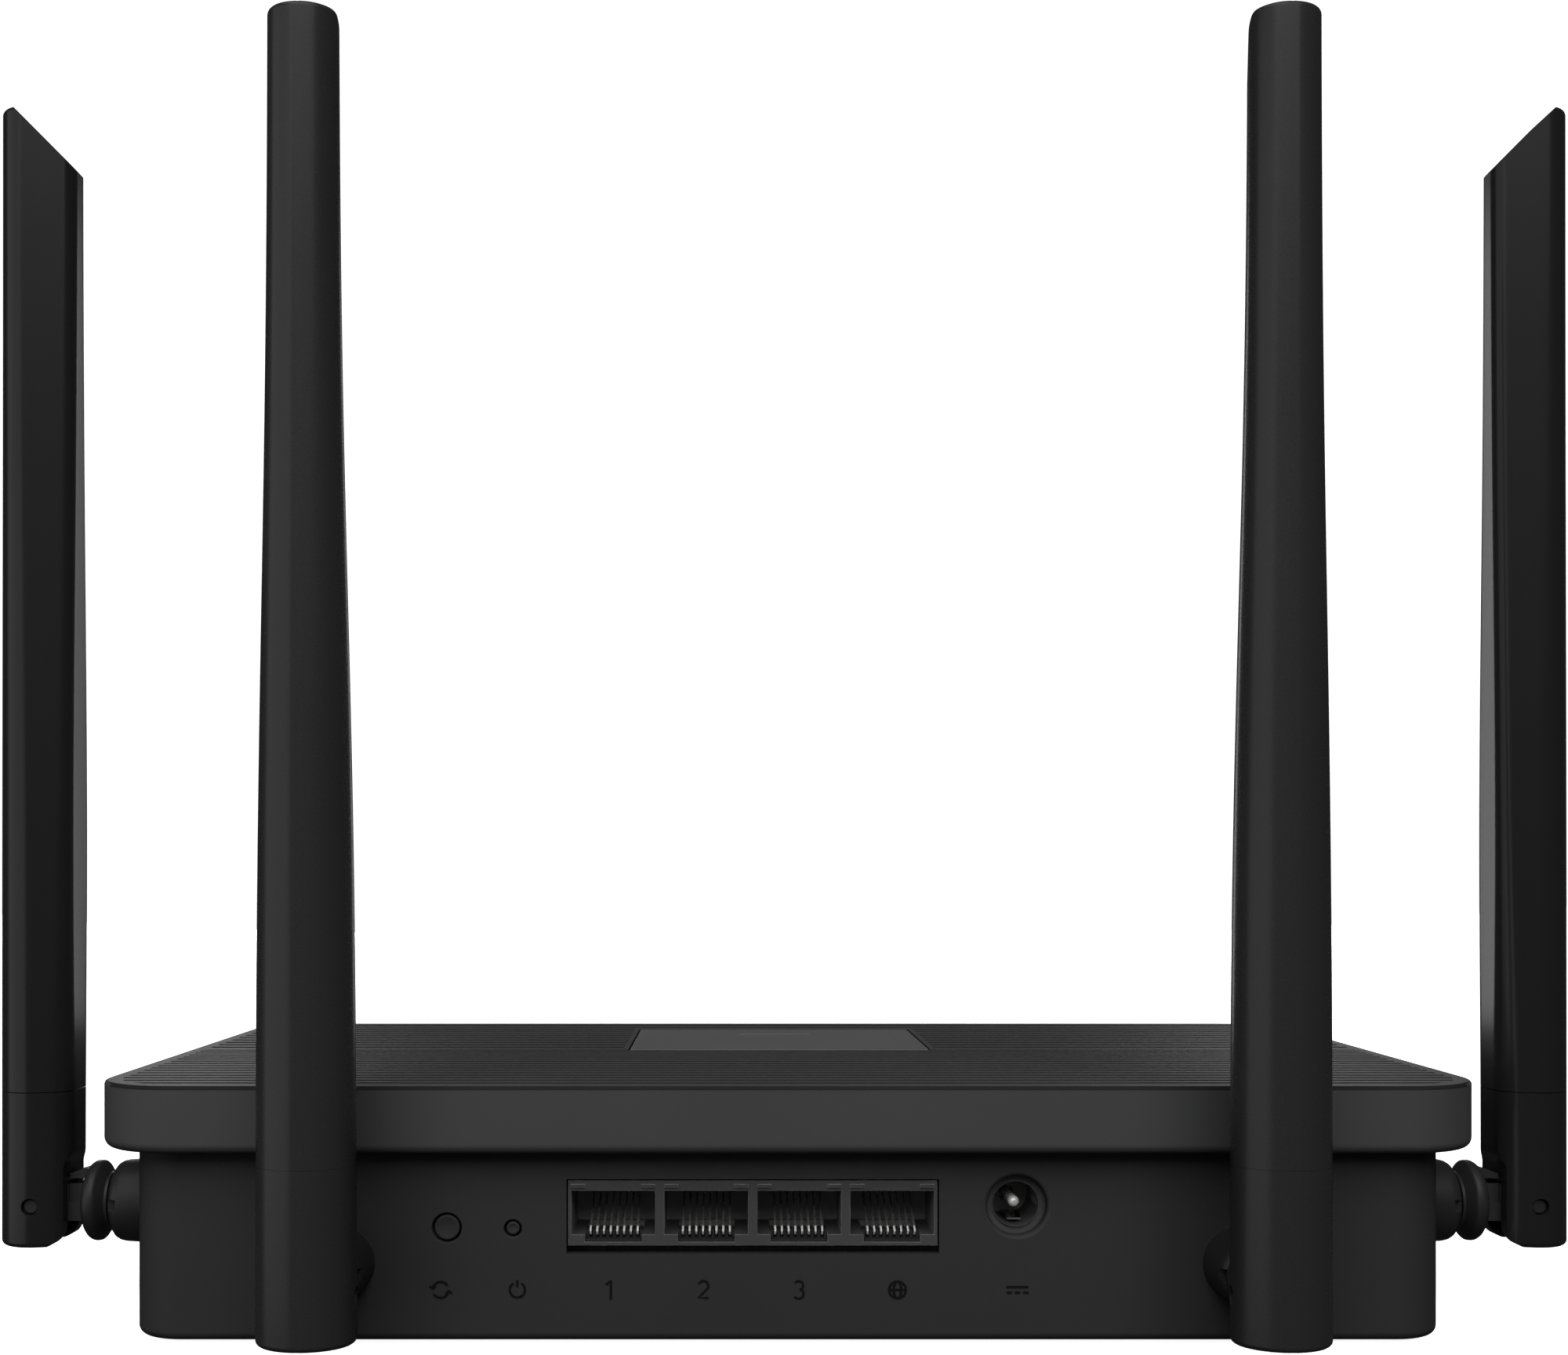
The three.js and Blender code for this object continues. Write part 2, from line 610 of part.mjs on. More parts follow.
// the antenna's section at a height above its lower end, drawn in by inset: a round nose
// on the outside, cheeks that close in toward a narrower flat inner face
const antennaRing = (height, inset) => {
  const lean = Math.atan(CHEEK_SLOPE);
  const half = antennaWidth(height) / 2 - inset;
  const nose = NOSE_SHARE * antennaWidth(height) - inset;
  const corner = Math.max(innerCorner(height) - inset, 0.4);
  const noseX = OUTER_X - inset - nose;
  const cornerX = INNER_X + inset + corner;
  const noseEnd = Math.PI / 2 + Math.atan(CHEEK_SLOPE * nose / half);
  const cheekX = noseX + nose * Math.cos(noseEnd);
  const cheekY = half * Math.sin(noseEnd);
  const cornerY = cheekY - CHEEK_SLOPE * (cheekX - cornerX) - corner / Math.cos(lean);
  const z = FOOT_Z + height;
  const ring = [];
  for (let i = 0; i <= 8; i += 1) {
    const angle = (i / 4 - 1) * noseEnd;
    ring.push(new THREE.Vector3(noseX + nose * Math.cos(angle), half * Math.sin(angle), z));
  }
  for (const side of [1, -1]) {
    for (let i = 0; i <= 3; i += 1) {
      const share = side > 0 ? i / 3 : 1 - i / 3;
      const angle = Math.PI / 2 + lean + share * (Math.PI / 2 - lean);
      const x = cornerX + corner * Math.cos(angle);
      ring.push(new THREE.Vector3(x, side * (cornerY + corner * Math.sin(angle)), z));
    }
  }
  return ring;
};

const antennaLoft = (stations) => loft(stations.map(([height, inset]) => antennaRing(height, inset)));

const pinRod = (radius, half) => rod(radius, [-half, half], 'y', [PIN_X, 0, 0], 16);

const sleeve = () => {
  const outside = antennaLoft([[0, 0.8], [0.25, 0.3], [0.8, 0], [SLEEVE_LENGTH, 0]]);
  const socket = antennaLoft([[17.6, SHELL], [SLEEVE_LENGTH + EPS, SHELL]]);
  const bottom = FOOT_Z - 1;
  const cornerX = NOTCH_X + NOTCH_RADIUS;
  const cornerZ = FOOT_Z - EPS + NOTCH_RADIUS;
  const notch = new THREE.Shape();
  notch.moveTo(INNER_X - 5, NOTCH_TOP);
  notch.lineTo(INNER_X - 5, bottom);
  notch.lineTo(cornerX, bottom);
  notch.lineTo(cornerX, FOOT_Z - EPS);
  notch.absarc(cornerX, cornerZ, NOTCH_RADIUS, -Math.PI / 2, -Math.PI, true);
  notch.lineTo(NOTCH_X, 6.0);
  notch.lineTo(INNER_X + 0.6, 7.6);
  notch.lineTo(INNER_X, NOTCH_TOP);
  const slot = new THREE.Shape();
  const reach = TONGUE_RADIUS + GAP;
  slot.moveTo(INNER_X - 5, reach);
  slot.lineTo(INNER_X - 5, bottom);
  slot.lineTo(PIN_X + reach, bottom);
  slot.lineTo(PIN_X + reach, 0);
  slot.absarc(PIN_X, 0, reach, 0, Math.PI / 2, false);
  const slotHalf = TONGUE_HALF + GAP;
  return cut(outside, [
    socket,
    alongY(notch, [-10, 10]),
    alongY(slot, [-slotHalf, slotHalf]),
    pinRod(PIN_RADIUS + 0.15, 10),
    rod(1.3, [2, 12], 'z', [PIN_X - 2.5, 0, 0], 8),
  ]);
};

const blade = () => {
  const top = FOOT_Z + LENGTH;
  const base = SLEEVE_LENGTH + GAP;
  const outside = antennaLoft([
    [base, 0], [50, 0], [75, 0], [100, 0], [130, 0], [LENGTH - TIP_ROUND, 0],
    [LENGTH - 0.3 * TIP_ROUND, 0.3 * TIP_ROUND], [LENGTH, TIP_ROUND],
  ]);
  const spigot = antennaLoft([[base - SPIGOT, SHELL + GAP], [base + 1, SHELL + GAP]]);
  const throat = antennaLoft([[base - SPIGOT - 1, SHELL * 2], [base + 2, SHELL * 2]]);
  const hollow = antennaLoft([[base + 1.4, SHELL], [75, SHELL], [LENGTH - 18, SHELL]]);
  const drop = OUTER_X - TIP_WIDTH - INNER_X + 2;
  const slant = outline([
    [OUTER_X - TIP_WIDTH, top],
    [OUTER_X - TIP_WIDTH, top + 3],
    [INNER_X - 2, top + 3],
    [INNER_X - 2, top - drop],
  ]);
  return cut(join([outside, spigot]), [throat, hollow, alongY(slant, [-10, 10])]);
};

const radiator = () => {
  const middle = (OUTER_X + INNER_X) / 2;
  const [z0, z1] = [FOOT_Z + 34, FOOT_Z + 152];
  const strip = block([middle - 3.4, middle + 3.4], [-0.4, 0.4], [z0, z1]);
  const slits = [0.3, 0.62].map((share) => {
    const z = z0 + share * (z1 - z0);
    return block([middle - 4, middle + 2.2], [-1, 1], [z, z + 1.2]);
  });
  return cut(strip, slits);
};

// shaft, collar and tongue in one: it turns in the bush, and the antenna tilts on its tongue
const hub = (hinge) => {
  const collar = hinge * COLLAR_RADIUS;
  const neck = 0.72 * collar;
  const core = turned([
    [0, -5],
    [3.6, -5],
    [4.1, -4.6],
    [4.1, -3.9],
    [SHAFT_RADIUS, -3.9],
    [SHAFT_RADIUS, BOSS_END + GAP],
    [neck, BOSS_END + GAP],
    [neck, BOSS_END + 0.8],
    [collar, COLLAR_FRONT - 2.2],
    [collar, COLLAR_FRONT - 1.0],
    [0.91 * collar, COLLAR_FRONT - 0.35],
    [0.8 * collar, COLLAR_FRONT],
    [0, COLLAR_FRONT],
  ], 'x', [0, 0, 0]);
  const tongueStart = COLLAR_FRONT - 1;
  const tongue = new THREE.Shape();
  tongue.moveTo(tongueStart, -TONGUE_RADIUS);
  tongue.lineTo(PIN_X, -TONGUE_RADIUS);
  tongue.absarc(PIN_X, 0, TONGUE_RADIUS, -Math.PI / 2, Math.PI / 2, false);
  tongue.lineTo(tongueStart, TONGUE_RADIUS);
  const wedge = outline([
    [tongueStart, 3.9],
    [NOTCH_X - GAP, 3.9],
    [NOTCH_X - GAP, 4.7],
    [COLLAR_FRONT, 5.5],
    [tongueStart, 5.5],
  ]);
  const thickness = mirrored(TONGUE_HALF);
  const rebates = [-1, 1].map((side) => block(
    [COLLAR_FRONT + 0.2, NOTCH_X - 0.1],
    side > 0 ? [TONGUE_HALF - 0.45, 4] : [-4, 0.45 - TONGUE_HALF],
    [0.1, TONGUE_RADIUS + EPS],
  ));
  return cut(join([core, alongY(tongue, thickness), alongY(wedge, thickness)]), [
    pinRod(PIN_RADIUS + 0.2, 4),
    rod(1.3, [-6, COLLAR_FRONT + 1.9], 'x', [0, 0, 0], 10),
    rod(0.9, [0, 7], 'z', [COLLAR_FRONT + 1.2, 0, 0], 8),
    ...rebates,
  ]);
};

// fixed boss round the shaft, snapped into the case's wall
const bush = (hinge) => {
  const radius = hinge * BOSS_RADIUS;
  const bore = SHAFT_RADIUS + GAP;
  const flange = BUSH_HOLE_RADIUS + 0.6;
  const waist = BUSH_HOLE_RADIUS - GAP;
  const body = turned([
    [bore, -3.5],
    [flange, -3.5],
    [flange, -WALL - 0.2],
    [waist, -WALL - 0.2],
    [waist, 0.2],
    [radius, 0.2],
    [0.957 * radius, 5],
    [0.936 * radius, BOSS_END - 2.0],
    [0.8 * radius, BOSS_END - 0.4],
    [0.67 * radius, BOSS_END],
    [bore, BOSS_END],
    [bore, -3.5],
  ], 'x', [0, 0, 0]);
  return cut(body, mirrored(0.85 * radius).map((y) => block(
    [BOSS_END - 1.6, BOSS_END + EPS],
    [y - 1.1, y + 1.1],
    [-0.9, 0.95],
  )));
};

const cable = (pad) => {
  const [px, py, pz] = pad;
  const route = new THREE.CatmullRomCurve3([
    new THREE.Vector3(px, py, pz),
    new THREE.Vector3(px + 5, py, pz),
    new THREE.Vector3(px * 0.55, py * 0.35, pz * 0.8),
    new THREE.Vector3(-10, 0, 0.1),
    new THREE.Vector3(-5, 0, 0),
    new THREE.Vector3(6, 0, 0),
  ], false, 'centripetal');
  const section = new THREE.Shape();
  section.absarc(0, 0, CABLE_RADIUS, 0, 2 * Math.PI, false);
  return solid(new THREE.ExtrudeGeometry(section, { steps: 12, curveSegments: 4, extrudePath: route }));
};

// ---------- assembly ----------

place('top_cover', cover(), COVER_PLASTIC);
place('bottom_case', caseBody(), CASE_PLASTIC);
place('badge_plate', badgePlate(), PLATE_PLASTIC);
place('status_light_lens', lens(), LENS_PLASTIC);
footPlaces().forEach((at, i) => place(`foot_${i + 1}`, foot(at), RUBBER));
CORNERS.forEach((at, i) => place(`case_screw_${i + 1}`, caseScrew(at), STEEL));

place('rj45_housing', socketHousing(), HOUSING_PLASTIC);
portCentres.forEach((x, i) => place(`port_contacts_${i + 1}`, contactComb(x), SILVER));
place('dc_jack_housing', inletHousing(), DARK_PLASTIC);
place('dc_center_pin', inletPin(), SILVER);
place('dc_spring_contact', inletSpring(), SILVER);
for (const spec of BUTTONS) {
  place(`${spec.name}_button`, button(spec), DARK_PLASTIC);
  place(`${spec.name}_switch`, buttonSwitch(spec), DARK_PLASTIC);
}

place('main_board', board(), BOARD_BLACK);
place('cpu_heatsink', heatsink(), ALUMINIUM);
place('shield_can', shieldCan(), STEEL);
place('transformer_1', transformer(-19), DARK_PLASTIC);
place('transformer_2', transformer(4), DARK_PLASTIC);
place('capacitor_1', capacitor(34), ALUMINIUM);
place('capacitor_2', capacitor(45), ALUMINIUM);
place('status_led', statusLed(), finish(0xe8e8e0, 0.3));

for (const { name, at, turn, hinge, pad } of ANTENNAS) {
  const group = new THREE.Group();
  group.position.set(...at);
  group.rotation.z = THREE.MathUtils.degToRad(turn);
  parts.add(group);
  place(`${name}_mount_bush`, bush(hinge), ANTENNA_PLASTIC, group);
  place(`${name}_swivel_hub`, hub(hinge), ANTENNA_PLASTIC, group);
  place(`${name}_hinge_pin`, pinRod(PIN_RADIUS, 6.2), DARK_PLASTIC, group);
  place(`${name}_hinge_sleeve`, sleeve(), ANTENNA_PLASTIC, group);
  place(`${name}_antenna_blade`, blade(), ANTENNA_PLASTIC, group);
  place(`${name}_radiator`, radiator(), BOARD_BLACK, group);
  place(`${name}_coax_cable`, cable(pad), CABLE_GREY, group);
}

export default parts;
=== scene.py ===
"""Looks of the wireless router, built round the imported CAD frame.

The piece makers work in millimetres, in the frame of the CAD model, and make their meshes in metres.
"""
import json
import math

import bmesh
import bpy
from mathutils import Matrix, Vector


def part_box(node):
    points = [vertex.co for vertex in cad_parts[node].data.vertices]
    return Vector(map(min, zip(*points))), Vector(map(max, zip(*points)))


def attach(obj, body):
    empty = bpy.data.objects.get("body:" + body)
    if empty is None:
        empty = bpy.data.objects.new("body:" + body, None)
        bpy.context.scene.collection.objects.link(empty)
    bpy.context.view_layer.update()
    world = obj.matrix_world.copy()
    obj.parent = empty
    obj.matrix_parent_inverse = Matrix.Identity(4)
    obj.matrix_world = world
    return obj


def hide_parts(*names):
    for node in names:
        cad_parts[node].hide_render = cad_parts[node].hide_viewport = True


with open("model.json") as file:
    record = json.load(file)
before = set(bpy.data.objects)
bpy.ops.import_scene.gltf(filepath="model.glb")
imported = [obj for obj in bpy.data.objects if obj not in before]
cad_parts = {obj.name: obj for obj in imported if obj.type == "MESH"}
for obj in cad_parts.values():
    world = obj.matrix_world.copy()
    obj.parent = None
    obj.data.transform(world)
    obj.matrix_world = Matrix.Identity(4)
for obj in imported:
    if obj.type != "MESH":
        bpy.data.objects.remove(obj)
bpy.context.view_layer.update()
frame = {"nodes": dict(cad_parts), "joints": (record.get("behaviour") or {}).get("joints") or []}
scene = bpy.context.scene

MM = 0.001
GAP = 0.3  # between neighbouring pieces
FINE = 64  # sides of a round piece
SOFT_EDGE = 0.1  # width of a plain moulded edge
STRAIGHT = Matrix.Identity(4)


# ---------- places, from the frame ----------


def node_box(node):
    """A CAD node's lowest and highest corner, in millimetres."""
    low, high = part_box(node)
    return low / MM, high / MM


def joint_place(name):
    """A point on a joint's axis, in millimetres."""
    joint = next(j for j in frame["joints"] if j["name"] == name)
    return Vector(joint["pos_m"]) / MM


COVER_LOW, COVER_HIGH = node_box("top_cover")
CASE_LOW, CASE_HIGH = node_box("bottom_case")
PLATE_LOW, PLATE_HIGH = node_box("badge_plate")
LENS_LOW, LENS_HIGH = node_box("status_light_lens")
HOUSING_LOW, HOUSING_HIGH = node_box("rj45_housing")
INLET_LOW, INLET_HIGH = node_box("dc_jack_housing")
PIN_LOW, PIN_HIGH = node_box("dc_center_pin")
INLET = (PIN_LOW + PIN_HIGH) / 2
REAR_Y = CASE_LOW.y  # outside of the socket wall
TOP_Z = COVER_HIGH.z
COVER_OVERLAP = 5  # how far the cover reaches down over the lower case
SPLIT_Z = CASE_HIGH.z - COVER_OVERLAP


# ---------- camera ----------

CAMERA_BACK = 285.0  # from the socket wall
CAMERA_X = -9.03
CAMERA_Z = 71.3
FOCAL_PX = 2424
FRAME_PX = 2000
SENSOR = 36
SHIFT_X = 0.03535
SHIFT_Y = 0.123

camera_data = bpy.data.cameras.new("camera")
camera_data.sensor_width = SENSOR
camera_data.lens = FOCAL_PX / FRAME_PX * SENSOR
camera_data.shift_x = SHIFT_X
camera_data.shift_y = SHIFT_Y
camera_data.clip_start = 0.01
camera_data.clip_end = 50
camera = bpy.data.objects.new("camera", camera_data)
camera.location = (CAMERA_X * MM, (REAR_Y - CAMERA_BACK) * MM, CAMERA_Z * MM)
camera.rotation_euler = (math.radians(90), 0, 0)
scene.collection.objects.link(camera)
scene.camera = camera
scene.view_settings.view_transform = "Standard"


# ---------- materials ----------

# sockets of a Mix node that mixes colours
MIX_FIRST = 6
MIX_SECOND = 7
MIX_RESULT = 2


class Shader:
    """A new material's node tree, with short ways to add and join nodes."""

    def __init__(self, name):
        self.material = bpy.data.materials.new(name)
        self.material.use_nodes = True
        self.nodes = self.material.node_tree.nodes
        self.links = self.material.node_tree.links
        self.bsdf = self.nodes["Principled BSDF"]
        self.coordinates = self.add("ShaderNodeTexCoord").outputs["Object"]

    def add(self, kind, **settings):
        """A node with its input values and settings by name."""
        node = self.nodes.new(kind)
        for key, value in settings.items():
            socket = key.replace("_", " ")
            if socket in node.inputs:
                node.inputs[socket].default_value = value
            else:
                setattr(node, key, value)
        return node

    def join(self, output, target):
        self.links.new(output, target)

    def set(self, **values):
        """Values that are the same all over the surface, on the shader's own sockets."""
        for key, value in values.items():
            self.bsdf.inputs[key.replace("_", " ")].default_value = value

    def noise(self, scale, detail, stretch=None):
        node = self.add("ShaderNodeTexNoise", Scale=scale, Detail=detail, Roughness=0.5)
        source = self.coordinates
        if stretch:
            mapping = self.add("ShaderNodeMapping", Scale=stretch)
            self.join(source, mapping.inputs["Vector"])
            source = mapping.outputs["Vector"]
        self.join(source, node.inputs["Vector"])
        return node.outputs["Fac"]

    def ramp(self, factor, low, high):
        """A colour between two stops, each a (place, colour)."""
        node = self.add("ShaderNodeValToRGB")
        for element, (place, colour) in zip(node.color_ramp.elements, (low, high)):
            element.position = place
            element.color = (*colour, 1)
        self.join(factor, node.inputs["Fac"])
        return node.outputs["Color"]

    def span(self, factor, low, high):
        """Maps the middle half of a texture's range onto low..high."""
        node = self.add("ShaderNodeMapRange")
        node.inputs["From Min"].default_value = 0.25
        node.inputs["From Max"].default_value = 0.75
        node.inputs["To Min"].default_value = low
        node.inputs["To Max"].default_value = high
        self.join(factor, node.inputs["Value"])
        return node.outputs["Result"]

    def bump(self, heights):
        """Bumps stacked from [(height output, depth in metres, strength), ...]."""
        normal = None
        for height, depth, strength in heights:
            node = self.add("ShaderNodeBump", Distance=depth, Strength=strength)
            self.join(height, node.inputs["Height"])
            if normal:
                self.join(normal, node.inputs["Normal"])
            normal = node.outputs["Normal"]
        self.join(normal, self.bsdf.inputs["Normal"])


def grey(value):
    return (value, value, value)


def scaled(colour, factor):
    return tuple(part * factor for part in colour)


def moulded(
    name, colour, roughness, specular, grain=0.5, grain_scale=2600, mottle=0.08, gloss_spread=0.05
):
    """Moulded plastic: a fine spark-eroded grain over a faint, slow variation of shade and gloss."""
    s = Shader(name)
    slow = s.noise(28, 4)
    dark = scaled(colour, 1 - mottle)
    light = scaled(colour, 1 + mottle)
    s.join(s.ramp(slow, (0.3, dark), (0.7, light)), s.bsdf.inputs["Base Color"])
    fine = s.noise(grain_scale, 2)
    s.join(s.span(fine, roughness - gloss_spread, roughness + gloss_spread), s.bsdf.inputs["Roughness"])
    s.bump([(slow, 0.00002, 0.15), (fine, 0.00002, grain)])
    s.set(Specular_IOR_Level=specular)
    return s.material


def metal(name, colour, roughness, brushed=False, shine=1.0):
    """Bare or plated metal, brushed along X if asked, with faint handling marks."""
    s = Shader(name)
    marks = s.noise(900, 3, (0.05, 1, 1) if brushed else None)
    s.join(s.ramp(marks, (0.3, scaled(colour, 0.86)), (0.7, colour)), s.bsdf.inputs["Base Color"])
    s.join(s.span(marks, roughness * 0.75, roughness * 1.3), s.bsdf.inputs["Roughness"])
    s.bump([(marks, 0.00001, 0.3)])
    s.set(Metallic=shine)
    return s.material


def rubber_material():
    s = Shader("foot_rubber")
    fine = s.noise(1900, 4)
    s.join(s.ramp(fine, (0.3, grey(0.007)), (0.75, grey(0.014))), s.bsdf.inputs["Base Color"])
    s.join(s.span(fine, 0.8, 0.95), s.bsdf.inputs["Roughness"])
    s.bump([(fine, 0.00005, 0.6)])
    s.set(Specular_IOR_Level=0.25, Sheen_Weight=0.15)
    return s.material


def lens_material():
    """Smoked light guide, nearly black while the light is off."""
    s = Shader("smoked_lens")
    cloud = s.noise(180, 2)
    s.join(s.ramp(cloud, (0.2, grey(0.004)), (0.8, grey(0.007))), s.bsdf.inputs["Base Color"])
    s.join(s.span(cloud, 0.12, 0.2), s.bsdf.inputs["Roughness"])
    s.set(Coat_Weight=0.3, Coat_Roughness=0.1)
    return s.material


def board_material():
    """Black solder mask over copper: traces show as a slightly lighter maze, with tinned pads between."""
    s = Shader("solder_mask")
    maze = s.add(
        "ShaderNodeTexBrick",
        Scale=260,
        Mortar_Size=0.03,
        Color1=(0.006, 0.009, 0.007, 1),
        Color2=(0.008, 0.011, 0.009, 1),
        Mortar=(0.016, 0.021, 0.018, 1),
    )
    s.join(s.coordinates, maze.inputs["Vector"])
    pads = s.add("ShaderNodeTexVoronoi", feature="DISTANCE_TO_EDGE", Scale=420)
    s.join(s.coordinates, pads.inputs["Vector"])
    spots = s.ramp(pads.outputs["Distance"], (0.44, grey(0)), (0.48, grey(1)))
    mix = s.add("ShaderNodeMix", data_type="RGBA")
    s.join(spots, mix.inputs["Factor"])
    s.join(maze.outputs["Color"], mix.inputs[MIX_FIRST])
    mix.inputs[MIX_SECOND].default_value = (0.30, 0.30, 0.29, 1)
    s.join(mix.outputs[MIX_RESULT], s.bsdf.inputs["Base Color"])
    s.join(s.span(s.noise(500, 3), 0.32, 0.46), s.bsdf.inputs["Roughness"])
    s.bump([(maze.outputs["Fac"], 0.00003, 0.5)])
    return s.material


# name, colour, roughness, specular level, then what differs from a common moulding
COVER = moulded("cover_plastic", grey(0.030), 0.55, 0.22, grain=0.2, mottle=0.04)
# a darker plastic for the rib grooves: painted shade in the creases between the ribs
GROOVE_SHADE = moulded("rib_groove_painted_shade", grey(0.009), 0.7, 0.1, grain=0.2)
CASE = moulded("case_plastic", grey(0.016), 0.6, 0.18, grain=0.2, mottle=0.04)
PLATE = moulded("plate_plastic", grey(0.060), 0.5, 0.25, grain=0.25, grain_scale=3600, mottle=0.04)
SATIN = {"grain": 0.005, "mottle": 0.03, "gloss_spread": 0.015}
# the rear and side antennas are one plastic; the side antennas' darker copy is painted shade
REAR_ANTENNA = moulded("rear_antenna_plastic", grey(0.0135), 0.28, 0.3, **SATIN)
SIDE_ANTENNA_SHADED = moulded("side_antenna_painted_shade", grey(0.0075), 0.25, 0.3, **SATIN)
HINGE = moulded("hinge_plastic", grey(0.012), 0.4, 0.3, grain=0.06, grain_scale=3200)
HOUSING = moulded("socket_plastic", grey(0.030), 0.4, 0.35, grain=0.2, grain_scale=3000)
# a lighter copy of the socket plastic: painted light inside the sockets and the inlet's bore, where little
# lamp light reaches
SOCKET_INSIDE_LIGHT = moulded("socket_inside_painted_light", grey(0.11), 0.5, 0.25, grain=0.2)
# light grey, glossy plastic on the sockets' bevels: a painted highlight along the edges
SOCKET_EDGE_HIGHLIGHT = moulded("socket_edge_painted_highlight", grey(0.32), 0.25, 0.9, grain=0.05)
DARK = moulded("dark_plastic", grey(0.010), 0.45, 0.35, grain=0.3)
MARKING = moulded("marking_ink", grey(0.003), 0.5, 0.2, grain=0.2, mottle=0.15)
LED = moulded("led_epoxy", (0.8, 0.8, 0.736), 0.2, 0.5, grain=0.1)
CABLE = moulded("cable_jacket", grey(0.035), 0.45, 0.4, grain=0.3)
SILVER = metal("bright_plating", (0.86, 0.86, 0.84), 0.16)
CONTACT = metal("satin_plating", (0.88, 0.88, 0.87), 0.3, shine=0.96)
# plating with a strong diffuse part for the contacts' bends and the inlet's pin: a painted highlight
CONTACT_HIGHLIGHT = metal("plating_painted_highlight", (0.9, 0.9, 0.88), 0.25, shine=0.6)
STEEL = metal("zinc_plating", (0.56, 0.56, 0.54), 0.32, brushed=True)
ALUMINIUM = metal("anodised_aluminium", (0.42, 0.43, 0.44), 0.4, brushed=True)
RUBBER = rubber_material()
LENS = lens_material()
BOARD = board_material()


# ---------- outlines ----------


def circle(radius, sides, z):
    angles = [2 * math.pi * i / sides for i in range(sides)]
    return [(radius * math.cos(a), radius * math.sin(a), z) for a in angles]


def arc(cx, cz, radius, start, stop, steps=12, squash=1.0):
    """Points along part of a circle, from start to stop degrees, narrowed sideways by squash."""
    angles = [math.radians(start + (stop - start) * i / steps) for i in range(steps + 1)]
    return [(cx + squash * radius * math.cos(a), cz + radius * math.sin(a)) for a in angles]


def rounding(radius, steps=4):
    """(inset, drop) along a quarter round of an edge."""
    angles = [i / steps * math.pi / 2 for i in range(steps + 1)]
    return [(radius * (1 - math.cos(a)), radius * (1 - math.sin(a))) for a in angles]


def plan_ring(half_x, low, high, radius, inset, z, segments=14):
    """Rounded rectangle at height z, drawn in by inset."""
    ring = []
    corners = [(1, -1), (1, 1), (-1, 1), (-1, -1)]
    for quarter, (sx, sy) in enumerate(corners):
        cx = sx * (half_x - radius)
        cy = high - radius if sy > 0 else low + radius
        for i in range(segments + 1):
            a = (quarter - 1 + i / segments) * math.pi / 2
            ring.append((cx + (radius - inset) * math.cos(a), cy + (radius - inset) * math.sin(a), z))
    return ring


def strip_outline(line, thickness):
    """Closed outline of a strip of even thickness along a bent line."""
    sides = []
    for side in (1, -1):
        edge = []
        for i, (a, b) in enumerate(line):
            pa, pb = line[max(i - 1, 0)]
            na, nb = line[min(i + 1, len(line) - 1)]
            shift = side * thickness / 2 / math.hypot(na - pa, nb - pb)
            edge.append((a - shift * (nb - pb), b + shift * (na - pa)))
        sides.append(edge)
    return sides[0] + sides[1][::-1]


def curve_point(a, b, c, d, t):
    """One coordinate of a Catmull-Rom curve, t of the way from b to c."""
    square = 2 * a - 5 * b + 4 * c - d
    cube = 3 * b - a - 3 * c + d
    return 0.5 * (2 * b + (c - a) * t + square * t**2 + cube * t**3)


def smooth_line(points, steps=5):
    """Extra points along a smooth curve through the given ones."""
    line = []
    for i in range(len(points) - 1):
        before = points[max(i - 1, 0)]
        after = points[min(i + 2, len(points) - 1)]
        for k in range(steps):
            ends = zip(before, points[i], points[i + 1], after)
            line.append(tuple(curve_point(*end, k / steps) for end in ends))
    return line + [points[-1]]


# ---------- solids ----------


def mesh_object(name, points, faces, turn=STRAIGHT):
    """A mesh from points in millimetres, moved by turn, as an object in metres."""
    mesh = bpy.data.meshes.new(name)
    mesh.from_pydata([turn @ Vector(p) * MM for p in points], [], faces)
    mesh.validate()
    bm = bmesh.new()
    bm.from_mesh(mesh)
    bmesh.ops.recalc_face_normals(bm, faces=bm.faces)
    bm.to_mesh(mesh)
    bm.free()
    obj = bpy.data.objects.new(name, mesh)
    scene.collection.objects.link(obj)
    return obj


def loft(rings, turn=STRAIGHT):
    """Closed skin through rings of equally many points."""
    count = len(rings[0])
    points = [p for ring in rings for p in ring]
    faces = []
    for level in range(len(rings) - 1):
        for i in range(count):
            a = level * count + i
            b = level * count + (i + 1) % count
            faces.append((a, b, b + count, a + count))
    faces.append(tuple(range(count))[::-1])
    faces.append(tuple(range(len(points) - count, len(points))))
    return mesh_object("solid", points, faces, turn)


def block(xs, ys, zs, turn=STRAIGHT):
    corners = [(xs[0], ys[0]), (xs[1], ys[0]), (xs[1], ys[1]), (xs[0], ys[1])]
    return loft([[(x, y, z) for x, y in corners] for z in zs], turn)


def along_x(outline, xs, turn=STRAIGHT):
    """An outline drawn in (y, z), run along X."""
    return loft([[(x, y, z) for y, z in outline] for x in xs], turn)


def along_y(outline, ys, turn=STRAIGHT):
    """An outline drawn in (x, z), run along Y."""
    return loft([[(x, y, z) for x, z in outline] for y in ys], turn)


AXIS_TURN = {
    "x": Matrix.Rotation(math.radians(90), 4, "Y"),
    "y": Matrix.Rotation(math.radians(-90), 4, "X"),
    "z": STRAIGHT,
}


def axis_place(axis, at, turn):
    return turn @ Matrix.Translation(Vector(at)) @ AXIS_TURN[axis]


